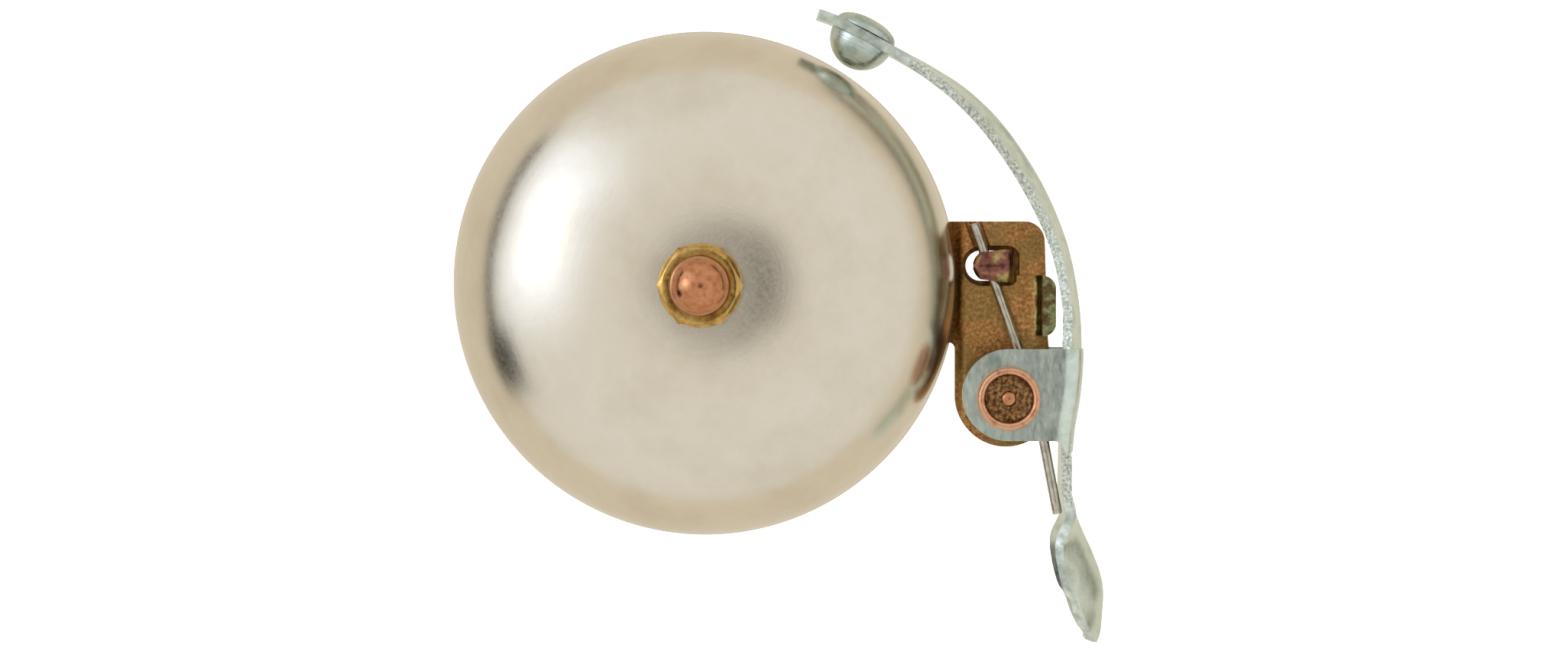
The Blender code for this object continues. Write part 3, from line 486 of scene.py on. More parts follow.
def arc(middle, radius, start_deg, end_deg, steps):
    """Points along an arc, both ends included, as (a, b) pairs."""
    turn = (end_deg - start_deg) / steps
    angles = [radians(start_deg + turn * i) for i in range(steps + 1)]
    return [(middle[0] + radius * cos(a), middle[1] + radius * sin(a)) for a in angles]


def polar(angle_deg, radius):
    """The point at this bearing and distance from the dome's axis."""
    return Vector((cos(radians(angle_deg)), sin(radians(angle_deg)), 0)) * radius


def square(half, middle=0):
    """Corners of a square, as (x, y) pairs."""
    return [(middle + x * half, y * half) for x, y in ((-1, -1), (1, -1), (1, 1), (-1, 1))]


def mesh_object(name, points, faces, *materials, edges=()):
    """An object in the scene with this mesh."""
    mesh = bpy.data.meshes.new(name)
    mesh.from_pydata([tuple(p) for p in points], edges, faces)
    obj = bpy.data.objects.new(name, mesh)
    SCENE.collection.objects.link(obj)
    for material in materials:
        mesh.materials.append(material)
    return obj


def clean(obj, smooth_deg=40):
    """Welds doubles, turns the faces outwards and shades smooth except over sharp edges."""
    shape = bmesh.new()
    shape.from_mesh(obj.data)
    bmesh.ops.remove_doubles(shape, verts=shape.verts, dist=0.001 * MM)
    bmesh.ops.recalc_face_normals(shape, faces=shape.faces)
    shape.to_mesh(obj.data)
    shape.free()
    obj.data.shade_smooth()
    obj.data.set_sharp_from_angle(angle=radians(smooth_deg))
    return obj


def plain(obj, smooth_deg=40):
    """The object with its modifiers made part of its mesh, and its place too."""
    bpy.context.view_layer.update()
    graph = bpy.context.evaluated_depsgraph_get()
    mesh = bpy.data.meshes.new_from_object(obj.evaluated_get(graph))
    mesh.transform(obj.matrix_world)
    name = obj.name
    obj.name = name + "_drawn"
    bpy.data.objects.remove(obj)
    made = bpy.data.objects.new(name, mesh)
    SCENE.collection.objects.link(made)
    return clean(made, smooth_deg)


def quads(rows, columns):
    """Faces of a grid of this many cells, over points that are listed row by row."""
    across = columns + 1
    corners = [i * across + j for i in range(rows) for j in range(columns)]
    return [(c, c + 1, c + across + 1, c + across) for c in corners]


def thicken(obj, wall, even=True, rim_slot=0):
    """Gives a surface its wall, behind its faces. The rim's material is some slots on from the face's."""
    solid = obj.modifiers.new("wall", "SOLIDIFY")
    solid.thickness = wall
    solid.offset = -1
    solid.use_even_offset = even
    solid.material_offset_rim = rim_slot
    return plain(obj)


def lathe(name, profile, *materials, middle=(0, 0), steps=96, closed=True, tilt=None):
    """Turns (radius, height) points about Z. A closed profile goes right round.

    An open one ends on the axis.
    """
    points = []
    count = len(profile)
    for i in range(steps):
        a = 2 * pi * i / steps
        points += [(r * cos(a), r * sin(a), z) for r, z in profile]
    faces = []
    for i in range(steps):
        here, there = i * count, (i + 1) % steps * count
        for j in range(count if closed else count - 1):
            k = (j + 1) % count
            faces.append((here + j, there + j, there + k, here + k))
    obj = mesh_object(name, points, faces, *materials)
    if tilt:
        obj.data.transform(tilt)
    else:
        obj.data.transform(Matrix.Translation((middle[0], middle[1], 0)))
    return clean(obj)


def ring(name, outer, inner, bottom, top, material, soft=0.12 * MM, middle=(0, 0), steps=96):
    """A washer or sleeve with its corners rounded."""
    profile = arc((outer - soft, top - soft), soft, 90, 0, 4)
    profile += arc((outer - soft, bottom + soft), soft, 0, -90, 4)
    profile += arc((inner + soft, bottom + soft), soft, -90, -180, 4)
    profile += arc((inner + soft, top - soft), soft, 180, 90, 4)
    return lathe(name, profile, material, middle=middle, steps=steps)


def prism(name, outline, bottom, top, *materials):
    """A flat outline in the XY plane, given a height."""
    curve = bpy.data.curves.new(name, "CURVE")
    curve.dimensions = "2D"
    curve.fill_mode = "BOTH"
    curve.extrude = (top - bottom) / 2
    spline = curve.splines.new("POLY")
    spline.points.add(len(outline) - 1)
    for point, (x, y) in zip(spline.points, outline):
        point.co = (x, y, 0, 1)
    spline.use_cyclic_u = True
    obj = bpy.data.objects.new(name, curve)
    SCENE.collection.objects.link(obj)
    obj.location.z = (bottom + top) / 2
    made = plain(obj)
    made.data.materials.clear()
    for material in materials:
        made.data.materials.append(material)
    return made


def bent_sheet(name, path, low_y, high_y, wall, *materials):
    """Sheet metal bent along a path of (x, z) points. The wall lies to the right of the path's way."""
    points = [(x, y, z) for x, z in path for y in (low_y, high_y)]
    faces = [(2 * i, 2 * i + 2, 2 * i + 3, 2 * i + 1) for i in range(len(path) - 1)]
    return thicken(mesh_object(name, points, faces, *materials), wall)


def combine(obj, other, operation):
    """Cuts, joins or intersects with another mesh, which is used up."""
    change = obj.modifiers.new("change", "BOOLEAN")
    change.operation = operation
    change.solver = "EXACT"
    change.use_self = True
    change.object = other
    made = plain(obj)
    bpy.data.objects.remove(other)
    return made


def soften(obj, width, angle=35, segments=2, smooth_deg=40):
    """Rounds the sharp edges."""
    bevel = obj.modifiers.new("soft", "BEVEL")
    bevel.width = width
    bevel.segments = segments
    bevel.limit_method = "ANGLE"
    bevel.angle_limit = radians(angle)
    bevel.use_clamp_overlap = True
    bevel.harden_normals = False
    return plain(obj, smooth_deg)


def post(radius, bottom, top, middle, sides=64):
    """An upright cutter."""
    return prism("cutter", arc(middle, radius, 0, 360 * (sides - 1) / sides, sides - 1), bottom, top)


def place_piece(obj, body, slot, *nodes):
    """Puts a finished piece on its body, in place of CAD nodes. Its slot argument is not used."""
    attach(obj, body)
    if nodes:
        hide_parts(*nodes)
    return obj


# Geometry node trees


def geometry_tree(name, sizes):
    """A tree with named inputs. Returns the tree and its input node."""
    tree = bpy.data.node_groups.new(name, "GeometryNodeTree")
    for label, kind in sizes:
        tree.interface.new_socket(name=label, in_out="INPUT", socket_type=kind)
    tree.interface.new_socket(name="Geometry", in_out="OUTPUT", socket_type="NodeSocketGeometry")
    return tree, add_node(tree, "NodeGroupInput")


def end_tree(tree, geometry, material):
    """Real geometry with its material, at the tree's output."""
    real = add_node(tree, "GeometryNodeRealizeInstances", {"Geometry": geometry})
    coated = add_node(tree, "GeometryNodeSetMaterial", {"Geometry": real.outputs[0], "Material": material})
    add_node(tree, "NodeGroupOutput", {"Geometry": coated.outputs[0]})


def grow(obj, tree, values):
    """The plain mesh that a tree makes of an object with these values."""
    change = obj.modifiers.new("grow", "NODES")
    change.node_group = tree
    for item in tree.interface.items_tree:
        if item.in_out == "INPUT" and item.name in values:
            change[item.identifier] = values[item.name]
    return plain(obj)


def thread_tree(material):
    """The ridge of a screw thread."""
    labels = ("Radius", "Length", "Turns", "Ridge")
    tree, sizes = geometry_tree("screw_thread", [(label, "NodeSocketFloat") for label in labels])
    helix = add_node(
        tree,
        "GeometryNodeCurveSpiral",
        {
            "Resolution": 40,
            "Rotations": sizes.outputs["Turns"],
            "Start Radius": sizes.outputs["Radius"],
            "End Radius": sizes.outputs["Radius"],
            "Height": sizes.outputs["Length"],
        },
    )
    ridge = add_node(
        tree, "GeometryNodeCurvePrimitiveCircle", {"Resolution": 6, "Radius": sizes.outputs["Ridge"]}
    )
    swept = add_node(
        tree,
        "GeometryNodeCurveToMesh",
        {"Curve": helix.outputs[0], "Profile Curve": ridge.outputs[0], "Fill Caps": True},
    )
    end_tree(tree, swept.outputs[0], material)
    return tree


def teeth_tree(material):
    """Teeth round a washer."""
    tree, sizes = geometry_tree(
        "washer_teeth",
        [("Teeth", "NodeSocketInt"), ("Radius", "NodeSocketFloat"), ("Tooth", "NodeSocketVector")],
    )
    circle = add_node(
        tree,
        "GeometryNodeMeshCircle",
        {"Vertices": sizes.outputs["Teeth"], "Radius": sizes.outputs["Radius"]},
    )
    outward = add_node(tree, "GeometryNodeInputPosition")
    turn = add_node(
        tree, "FunctionNodeAlignEulerToVector", {"Vector": outward.outputs[0]}, axis="X", pivot_axis="Z"
    )
    tooth = add_node(tree, "GeometryNodeMeshCube", {"Size": sizes.outputs["Tooth"]})
    spread = add_node(
        tree,
        "GeometryNodeInstanceOnPoints",
        {"Points": circle.outputs[0], "Instance": tooth.outputs[0], "Rotation": turn.outputs[0]},
    )
    end_tree(tree, spread.outputs[0], material)
    return tree


def wire_tree(material):
    """Round wire along a path, with its ends closed."""
    tree, sizes = geometry_tree(
        "round_wire",
        [("Path", "NodeSocketGeometry"), ("Wire radius", "NodeSocketFloat"), ("Sides", "NodeSocketInt")],
    )
    path = add_node(tree, "GeometryNodeMeshToCurve", {"Mesh": sizes.outputs["Path"]})
    section = add_node(
        tree,
        "GeometryNodeCurvePrimitiveCircle",
        {"Resolution": sizes.outputs["Sides"], "Radius": sizes.outputs["Wire radius"]},
    )
    swept = add_node(
        tree,
        "GeometryNodeCurveToMesh",
        {"Curve": path.outputs[0], "Profile Curve": section.outputs[0], "Fill Caps": True},
    )
    end_tree(tree, swept.outputs[0], material)
    return tree


# Dome, cap nut and the stack under it


def dome_side(radius, top, skirt_top, steps=44):
    """The crown, an ellipse from its flat middle to the skirt, as (radius, height) points."""
    flat = DOME_FLAT_RADIUS
    rise = top - skirt_top
    angles = [pi / 2 * i / steps for i in range(steps + 1)]
    return [(flat + (radius - flat) * sin(a) ** 0.96, skirt_top + rise * cos(a)) for a in angles]


def make_dome():
    """Spun shell with its rim rolled round and a plain hole for the bolt."""
    skirt_top = RIM_Z + DOME_SKIRT
    outer = dome_side(DOME_RADIUS - DOME_DRAFT, APEX_Z, skirt_top)
    inner = dome_side(DOME_RADIUS - DOME_DRAFT - DOME_WALL, APEX_Z - DOME_WALL, skirt_top)
    rim = arc((DOME_RADIUS - DOME_WALL / 2, RIM_Z + DOME_WALL / 2), DOME_WALL / 2, 0, -180, 10)
    profile = [(BORE, APEX_Z), *outer, *rim, *reversed(inner), (BORE, APEX_Z - DOME_WALL)]
    dome = lathe("dome_shell", profile, SATIN_NICKEL, steps=256)
    return place_piece(dome, "base", "satin_nickel", "dome")


def make_nut(name, flats, bottom, top, material):
    """Hexagon nut, chamfered at its corners and at both ends of its bore."""
    corner = flats / sqrt(3)
    outline = arc((0, 0), corner, 0, 300, 5)
    nut = prism(name, outline, bottom, top, material)
    face = flats / 2 * 0.97
    drop = (corner - face) * 0.55
    lead_in = 0.25 * MM
    beyond = corner * 1.02
    side = [
        (BORE, top - lead_in),
        (BORE + lead_in, top),
        (face, top),
        (beyond, top - drop),
        (beyond, bottom + drop),
        (face, bottom),
        (BORE + lead_in, bottom),
        (BORE, bottom + lead_in),
    ]
    blank = lathe(name + "_blank", side, material, steps=128)
    return soften(combine(nut, blank, "INTERSECT"), 0.1 * MM, angle=25, segments=2, smooth_deg=35)


def make_cap_nut():
    """Hexagon with a thin pressed crown over its top."""
    nut = make_nut("cap_nut_hex", CAP_NUT_FLATS, CAP_NUT_Z, CAP_NUT_TOP, GOLD_ZINC)
    place_piece(nut, "base", "brass", "cap_nut_body")
    straight = CROWN_TOP - CROWN_Z - CROWN_RADIUS
    outer = arc((0, CROWN_Z + straight), CROWN_RADIUS, 90, 0, 24)
    edge = 0.12 * MM
    foot = arc((CROWN_RADIUS - edge, CROWN_Z + edge), edge, 0, -90, 3)
    inner_radius = CROWN_RADIUS - 0.6 * MM
    inner = arc((0, CROWN_Z + straight), inner_radius, 0, 90, 16)
    profile = [*outer, *foot, (inner_radius, CROWN_Z), *inner]
    crown = lathe("cap_nut_dome", profile, COPPER, closed=False, steps=96)
    place_piece(crown, "base", "copper", "cap_nut_crown")


def make_stack():
    """What is on the centre bolt under the cap nut, and the bolt."""
    rings = (
        ("dome_washer", "dome_washer_ring", GOLD_ZINC, "brass"),
        ("fibre_washer", "fibre_washer_ring", RED_FIBRE, "red_fibre"),
        ("spacer_sleeve", "spacer_tube", PLAIN_STEEL, "steel"),
    )
    for node, name, material, slot in rings:
        piece = ring(name, high(node).x, BORE, low(node).z, high(node).z, material)
        place_piece(piece, "base", slot, node)
    nut_low, nut_high = low("base_nut"), high("base_nut")
    nut = make_nut("base_nut_hex", 2 * nut_high.y, nut_low.z, nut_high.z, YELLOW_ZINC)
    place_piece(nut, "base", "yellow_zinc", "base_nut")
    make_tooth_washer()
    make_centre_bolt()


def join(name, first, *others):
    """One object from several meshes that already have their places."""
    shape = bmesh.new()
    shape.from_mesh(first.data)
    for other in others:
        shape.from_mesh(other.data)
        bpy.data.objects.remove(other)
    shape.to_mesh(first.data)
    shape.free()
    first.name = name
    first.data.set_sharp_from_angle(angle=radians(40))
    return first


def make_tooth_washer():
    """Flat ring with twelve teeth round it."""
    bottom, top = low("tooth_washer"), high("tooth_washer")
    body = ring("tooth_washer_ring", 0.86 * top.x, BORE, bottom.z, top.z, PLAIN_STEEL)
    height = (top.z - bottom.z) * 0.96
    tooth = (top.x * 0.22, top.x * 0.24, height)
    values = {"Teeth": 12, "Radius": top.x * 0.885, "Tooth": tooth}
    teeth = grow(mesh_object("washer_teeth", [], []), teeth_tree(PLAIN_STEEL), values)
    teeth.data.transform(Matrix.Translation((0, 0, (top.z + bottom.z) / 2)))
    place_piece(join("tooth_washer_star", body, teeth), "base", "steel", "tooth_washer")


def make_centre_bolt():
    """Round head with a square neck, and a threaded shank."""
    bottom, top = low("centre_bolt"), high("centre_bolt")
    head_radius = top.x
    head_top = bottom.z + 1.9 * MM
    edge = 0.5 * MM
    shank = BOLT_RADIUS - 0.16 * MM
    side = [(0, top.z), (shank - 0.5 * MM, top.z), (shank, top.z - 0.5 * MM), (shank, head_top)]
    side += [(head_radius - 0.1 * MM, head_top), (head_radius, head_top - 0.1 * MM)]
    steps = 12
    for i in range(steps + 1):
        a = pi / 2 * i / steps
        side.append((head_radius * cos(a), bottom.z + (head_top - bottom.z - edge) * (1 - sin(a))))
    bolt = lathe("carriage_bolt", side, PLAIN_STEEL, closed=False, steps=96)
    neck = prism("neck", square(BOLT_NECK), head_top - 0.2 * MM, head_top + 1.5 * MM, PLAIN_STEEL)
    bolt = combine(bolt, neck, "UNION")
    start = head_top + 2 * MM
    length = top.z - start - 1 * MM
    pitch = 0.8 * MM
    values = {"Radius": shank, "Length": length, "Turns": length / pitch, "Ridge": 0.14 * MM}
    thread = grow(mesh_object("bolt_thread", [], []), thread_tree(PLAIN_STEEL), values)
    thread.data.transform(Matrix.Translation((0, 0, start)))
    place_piece(join("carriage_bolt", bolt, thread), "base", "steel", "centre_bolt")


# Band clamp


def band_path():
    """(x, z) points of the band's outer face, from the upper lug round to the lower one."""
    wall = 1.2 * MM
    radius = -low("clamp_band").z
    saddle = low("bracket").z - SEAT
    flank = radians(30)
    foot = (radius * cos(flank), radius * sin(flank))
    along = (saddle - foot[1]) / cos(flank)
    corner_x = foot[0] - along * sin(flank)
    bend = 2.4 * MM
    setback = bend * (1 - sin(flank)) / cos(flank)
    corner = arc((corner_x - setback, saddle - bend), bend, 90, 30, 10)
    lug_face = 3.2 * MM
    root = degrees(asin(lug_face / radius))
    end_x = low("clamp_band").x
    right = [*corner, *arc((0, 0), radius, 30, -180 + root + 3, 80)]
    left_corner = [(-x, z) for x, z in reversed(corner)]
    left = [*arc((0, 0), radius, 180 - root - 3, 150, 12), *left_corner]
    start = -radius * cos(radians(root)) - 0.5 * MM
    return [(end_x, lug_face), (start, lug_face), *left, *right, (start, -lug_face), (end_x, -lug_face)], wall


def make_clamp():
    """Strap with its two lugs, the liner in it, and the screw that closes it."""
    path, wall = band_path()
    half = high("clamp_band").y
    band = bent_sheet("band_strap", path, -half, half, wall, YELLOW_ZINC)
    end_x = low("clamp_band").x
    corner = 2.5 * MM
    beside, right = end_x + corner + 1 * MM, high("clamp_band").x + CUT
    plan = arc((end_x + corner, half - corner), corner, 90, 180, 8)
    plan += arc((end_x + corner, corner - half), corner, 180, 270, 8)
    plan += [(beside, -half - 0.01 * MM), (beside + 0.5 * MM, -half - CUT), (right, -half - CUT)]
    plan += [(right, half + CUT), (beside + 0.5 * MM, half + CUT), (beside, half + 0.01 * MM)]
    band = combine(band, prism("cutter", plan, -30 * MM, 30 * MM), "INTERSECT")
    neck_hole = square(BOLT_NECK + SEAT)
    band = combine(band, prism("cutter", neck_hole, 14 * MM, 17 * MM), "DIFFERENCE")
    middle = centre("clamp_screw")
    band = combine(band, post(CLAMP_SCREW_HOLE, -5 * MM, 5 * MM, (middle.x, 0)), "DIFFERENCE")
    band = soften(band, 0.15 * MM, angle=40)
    place_piece(band, "base", "yellow_zinc", "clamp_band")
    make_liner()
    make_clamp_screw(middle)


def make_liner():
    """Split rubber sleeve, open on the clamp screw's side."""
    outer = high("bar_liner").x
    wall = 0.9 * MM
    half = high("bar_liner").y
    split = 17
    path = arc((0, 0), outer, 180 - split, split - 180, 90)
    liner = bent_sheet("rubber_sleeve", path, -half, half, wall, RUBBER)
    place_piece(soften(liner, 0.2 * MM, angle=50), "base", "rubber", "bar_liner")


def make_clamp_screw(middle):
    """Slotted cheese-head screw from below, with its split washer and its square nut."""
    bottom, top = low("clamp_screw"), high("clamp_screw")
    head_radius = (top.x - bottom.x) / 2
    washer_low, washer_high = low("clamp_lock_washer"), high("clamp_lock_washer")
    head_top = washer_low.z - SEAT
    shank = 1.86 * MM
    side = [(0, top.z), (shank - 0.4 * MM, top.z), (shank, top.z - 0.4 * MM), (shank, head_top)]
    side += [(head_radius - 0.1 * MM, head_top), (head_radius, head_top - 0.1 * MM)]
    edge = 0.8 * MM
    side += arc((head_radius - edge, bottom.z + edge), edge, 0, -90, 8)
    side += [(0, bottom.z)]
    screw = lathe("cheese_head_screw", side, YELLOW_ZINC, middle=(middle.x, 0), closed=False, steps=80)
    half = 0.5 * MM
    reach = head_radius + CUT
    slot = [
        (middle.x - half, -reach),
        (middle.x + half, -reach),
        (middle.x + half, reach),
        (middle.x - half, reach),
    ]
    screw = combine(screw, prism("cutter", slot, bottom.z - CUT, bottom.z + 1.1 * MM), "DIFFERENCE")
    length = top.z - head_top - 0.8 * MM
    pitch = 0.7 * MM
    values = {"Radius": shank, "Length": length, "Turns": length / pitch, "Ridge": 0.13 * MM}
    thread = grow(mesh_object("screw_thread", [], []), thread_tree(YELLOW_ZINC), values)
    thread.data.transform(Matrix.Translation((middle.x, 0, head_top + 0.3 * MM)))
    place_piece(join("cheese_head_screw", screw, thread), "band_screw", "yellow_zinc", "clamp_screw")
    washer = ring(
        "split_washer",
        (washer_high.x - washer_low.x) / 2,
        CLAMP_SCREW_HOLE,
        washer_low.z,
        washer_high.z,
        PLAIN_STEEL,
        middle=(middle.x, 0),
    )
    split = [(-0.75, 1), (0.05, 1), (0.75, 5), (-0.05, 5)]
    gap = [(middle.x + x * MM, y * MM) for x, y in split]
    washer = combine(washer, prism("cutter", gap, washer_low.z - CUT, washer_high.z + CUT), "DIFFERENCE")
    place_piece(washer, "base", "steel", "clamp_lock_washer")
    nut_low, nut_high = low("clamp_nut"), high("clamp_nut")
    nut = prism("square_nut", square(nut_high.y, middle.x), nut_low.z, nut_high.z, YELLOW_ZINC)
    nut = combine(nut, post(CLAMP_SCREW_HOLE, nut_low.z - CUT, nut_high.z + CUT, (middle.x, 0)), "DIFFERENCE")
    place_piece(soften(nut, 0.25 * MM, angle=50), "base", "yellow_zinc", "clamp_nut")


# Bracket


def bracket_outline():
    """From above: the strip to the bolt, the notch, the pivot's lobe and the plate's outer edge."""
    middle_y = (STRIP_LOW_Y + STRIP_HIGH_Y) / 2
    end_radius = (STRIP_HIGH_Y - STRIP_LOW_Y) / 2
    lobe_left = PIVOT.x - LOBE_RADIUS
    notch = (lobe_left - NOTCH_RADIUS, STRIP_LOW_Y - NOTCH_RADIUS)
    corner = (PLATE_RIGHT - PLATE_CORNER, STRIP_HIGH_Y - PLATE_CORNER)
    return [
        *arc((0, middle_y), end_radius, 90, 270, 40),
        *arc(notch, NOTCH_RADIUS, 90, 0, 8),
        *arc((PIVOT.x, PIVOT.y), LOBE_RADIUS, 180, 374, 60),
        (PLATE_RIGHT + 0.45 * MM, TAB_LOW_Y - 1.2 * MM),
        (PLATE_RIGHT + 0.35 * MM, TAB_LOW_Y - 0.2 * MM),
        *arc(corner, PLATE_CORNER, 0, 90, 12),
    ]


def joggle_path():
    """(x, z) points of the upper face, with the step up beside the dome's rim."""
    bottom, top = STRIP_Z + PLATE, PLATE_TOP
    start = DOME_RADIUS - 1.5 * MM
    steps = 20
    path = [(-10 * MM, bottom)]
    for i in range(steps + 1):
        t = i / steps
        path.append((start + JOGGLE_RUN * t, bottom + (top - bottom) * t * t * (3 - 2 * t)))
    return [*path, (PLATE_RIGHT + CUT, top)]


def stop_tab():
    """The tab that is bent up at the outer edge, with its upper corners rounded."""
    wall = PLATE - 2 * INSET
    floor = PLATE_Z + INSET
    bend = TAB_BEND + wall
    path = [(TAB_FACE - bend - 1.5 * MM, floor)]
    path += arc((TAB_FACE - bend, floor + bend), bend, -90, 0, 14)
    path += [(TAB_FACE, TAB_TOP)]
    path.reverse()
    tab = bent_sheet("tab", path, TAB_LOW_Y - CUT, TAB_HIGH_Y + CUT, wall)
    corner = TAB_CORNER
    left = TAB_FACE - 5 * MM
    outline = [(left, TAB_HIGH_Y), (left, TAB_LOW_Y)]
    outline += arc((TAB_FACE + INSET - corner, TAB_LOW_Y + corner), corner, -90, 0, 10)
    outline += arc((TAB_FACE + INSET - corner, TAB_HIGH_Y - corner), corner, 0, 90, 10)
    return combine(tab, prism("cutter", outline, PLATE_Z - CUT, PLATE_Z + 9 * MM), "INTERSECT")


def spring_hook():
    """Rises from its root, goes over the wire and droops at its tip, crowned across like a fingertip."""
    top = WIRE_LOW_Z + WIRE / 2 + SEAT + HOOK_WALL
    foot = PLATE_TOP - DENT - INSET
    bend = 2.4 * MM
    droop = 20
    rise = top - foot
    shoulder = 1.25 * MM
    lean = 0.2 * MM
    path = [(HOOK_ROOT + 0.2 * MM, foot), (HOOK_ROOT, foot)]
    path += [(HOOK_ROOT - lean * t, foot + (rise - shoulder) * t) for t in (0.35, 0.7)]
    path += arc((HOOK_ROOT - lean - shoulder, top - shoulder), shoulder, 0, 90, 16)
    path += arc((HOOK_TIP + bend * sin(radians(droop)), top - bend), bend, 90, 90 + droop, 14)
    columns = 20
    crown = 0.7 * MM
    radius = HOOK_WIDTH / 2
    points = []
    for x, z in path:
        into = max(radius - (x - path[-1][0]), 0) / radius
        half = radius * max(sqrt(max(1 - into * into, 0)), 0.2) * 0.98
        lift = min((z - foot) / rise, 1) * crown
        for j in range(columns + 1):
            v = 2 * j / columns - 1
            points.append((x, HOOK_Y + v * half, z - lift * v * v))
    hook = mesh_object("hook", points, quads(len(path) - 1, columns))
    return thicken(hook, HOOK_WALL, even=False)


def hook_recess():
    """The shallow dent round the hook, where the plate was drawn down as the hook was lanced."""
    half = HOOK_SLOT_WIDTH / 2 + 0.55 * MM
    left = HOOK_SLOT[0] - 0.4 * MM + half
    right = HOOK_ROOT + 0.5 * MM
    corner = 1.3 * MM
    outline = arc((left, HOOK_Y), half, 90, 270, 24)
    outline += arc((right - corner, HOOK_Y - half + corner), corner, -90, 0, 8)
    outline += arc((right - corner, HOOK_Y + half - corner), corner, 0, 90, 8)
    return prism("cutter", outline, PLATE_TOP - DENT, PLATE_TOP + CUT)


def wire_groove():
    """A round bar along the wire's end, to press its groove into the plate."""
    start, direction = hook_leg()
    length = (start.y - HOOK_Y) / -direction.y
    radius = 1.1 * MM
    shape = bmesh.new()
    bmesh.ops.create_cone(
        shape, cap_ends=True, segments=40, radius1=radius, radius2=radius, depth=length + 2 * CUT
    )
    mesh = bpy.data.meshes.new("groove")
    shape.to_mesh(mesh)
    shape.free()
    middle = start + direction * (length / 2 - CUT)
    turn = direction.to_track_quat("Z", "Y").to_matrix().to_4x4()
    lift = Matrix.Translation((middle.x, middle.y, PLATE_TOP - 0.45 * MM + radius))
    mesh.transform(lift @ turn)
    groove = bpy.data.objects.new("groove", mesh)
    SCENE.collection.objects.link(groove)
    return groove


def make_bracket():
    """Stamped plate with its slot, dent and groove, the hook over the wire and the stop tab."""
    low_y, high_y = PIVOT.y - 9 * MM, STRIP_HIGH_Y + CUT
    blank = bent_sheet("bracket_plate", joggle_path(), low_y, high_y, PLATE, YELLOW_ZINC)
    plate = combine(blank, prism("cutter", bracket_outline(), STRIP_Z - CUT, PLATE_Z + 3 * CUT), "INTERSECT")
    start, end = HOOK_SLOT
    half = HOOK_SLOT_WIDTH / 2
    slot = arc((start + half, HOOK_Y), half, 90, 270, 20) + [(end, HOOK_Y - half), (end, HOOK_Y + half)]
    plate = combine(plate, prism("cutter", slot, PLATE_Z - CUT, PLATE_TOP + CUT), "DIFFERENCE")
    plate = combine(plate, hook_recess(), "DIFFERENCE")
    plate = combine(plate, wire_groove(), "DIFFERENCE")
    hole = post(RIVET_HOLE, PLATE_Z - CUT, PLATE_TOP + CUT, (PIVOT.x, PIVOT.y))
    plate = combine(plate, hole, "DIFFERENCE")
    plate = combine(plate, post(BORE, STRIP_Z - CUT, STRIP_Z + PLATE + CUT, (0, 0)), "DIFFERENCE")
    plate = combine(plate, stop_tab(), "UNION")
    plate = combine(plate, spring_hook(), "UNION")
    plate = soften(plate, 0.16 * MM, angle=40, segments=3)
    for material in (BLOOM_ZINC, DENT_SHADE_ZINC, GREEN_BLOOM_AND_HIGHLIGHT_ZINC):
        plate.data.materials.append(material)
    for face in plate.data.polygons:
        spot = face.center
        raised = spot.z > PLATE_TOP + 0.08 * MM and spot.x > HOOK_TIP - 1 * MM
        if raised:
            # The stop tab's raised faces take the pale green chromate, whose lightest stops are a painted
            # highlight.
            face.material_index = 3 if spot.x > PLATE_RIGHT - 1.2 * MM else 1
        # Painted shade: the dent's floor beside the hook takes the darkened plate material.
        beside_hook = HOOK_TIP - 2 * MM < spot.x < HOOK_ROOT + 1 * MM and abs(spot.y - HOOK_Y) < 3 * MM
        if beside_hook and abs(spot.z - PLATE_TOP + DENT) < 0.15 * MM:
            face.material_index = 2
    return place_piece(plate, "base", "yellow_zinc", "bracket")


# Return spring


def hook_leg():
    """The wire's free end at the hook, and the leg's direction towards the coil."""
    direction = polar(HOOK_LEG_DEG, 1)
    touch = PIVOT + polar(HOOK_LEG_DEG + 90, COIL_RADIUS)
    return touch - direction * HOOK_LEG, direction


def spring_points():
    """The wire's middle line: the leg at the hook, the coil, and the leg to the paddle."""
    start, direction = hook_leg()
    points = [start + direction * (HOOK_LEG * i / 12) for i in range(12)]
    points = [Vector((p.x, p.y, WIRE_LOW_Z)) for p in points]
    first = HOOK_LEG_DEG + 90
    sweep = 360 * COIL_TURNS + HOOK_LEG_DEG - PADDLE_LEG_DEG
    steps = 64 * COIL_TURNS
    for i in range(steps + 1):
        t = i / steps
        point = PIVOT + polar(first - sweep * t, COIL_RADIUS)
        points.append(Vector((point.x, point.y, WIRE_LOW_Z + (WIRE_HIGH_Z - WIRE_LOW_Z) * t)))
    out = polar(PADDLE_LEG_DEG, 1)
    end = points[-1]
    return points + [end + out * (PADDLE_LEG * i / 10) for i in range(1, 11)]


def make_spring():
    """The wire, which winds between the bracket and the lever."""
    points = spring_points()
    line = mesh_object("torsion_spring", points, [], edges=[(i, i + 1) for i in range(len(points) - 1)])
    spring = grow(line, wire_tree(SPRING_STEEL), {"Wire radius": WIRE / 2, "Sides": 20})
    spring = soften(spring, 0.12 * MM, angle=60)
    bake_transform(spring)
    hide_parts("return_spring")


# Lever, striker and pivot


def from_rim(bearing, x, y, half, depth, rise, spoon):
    """A row of RIM_STATIONS in metres, with the spine's place from the dome's axis."""
    rim = polar(bearing, DOME_RADIUS)
    return [rim.x + x * MM, rim.y + y * MM, half * MM, depth * MM, rise * MM, spoon]


STATIONS = [from_rim(*row) for row in RIM_STATIONS]


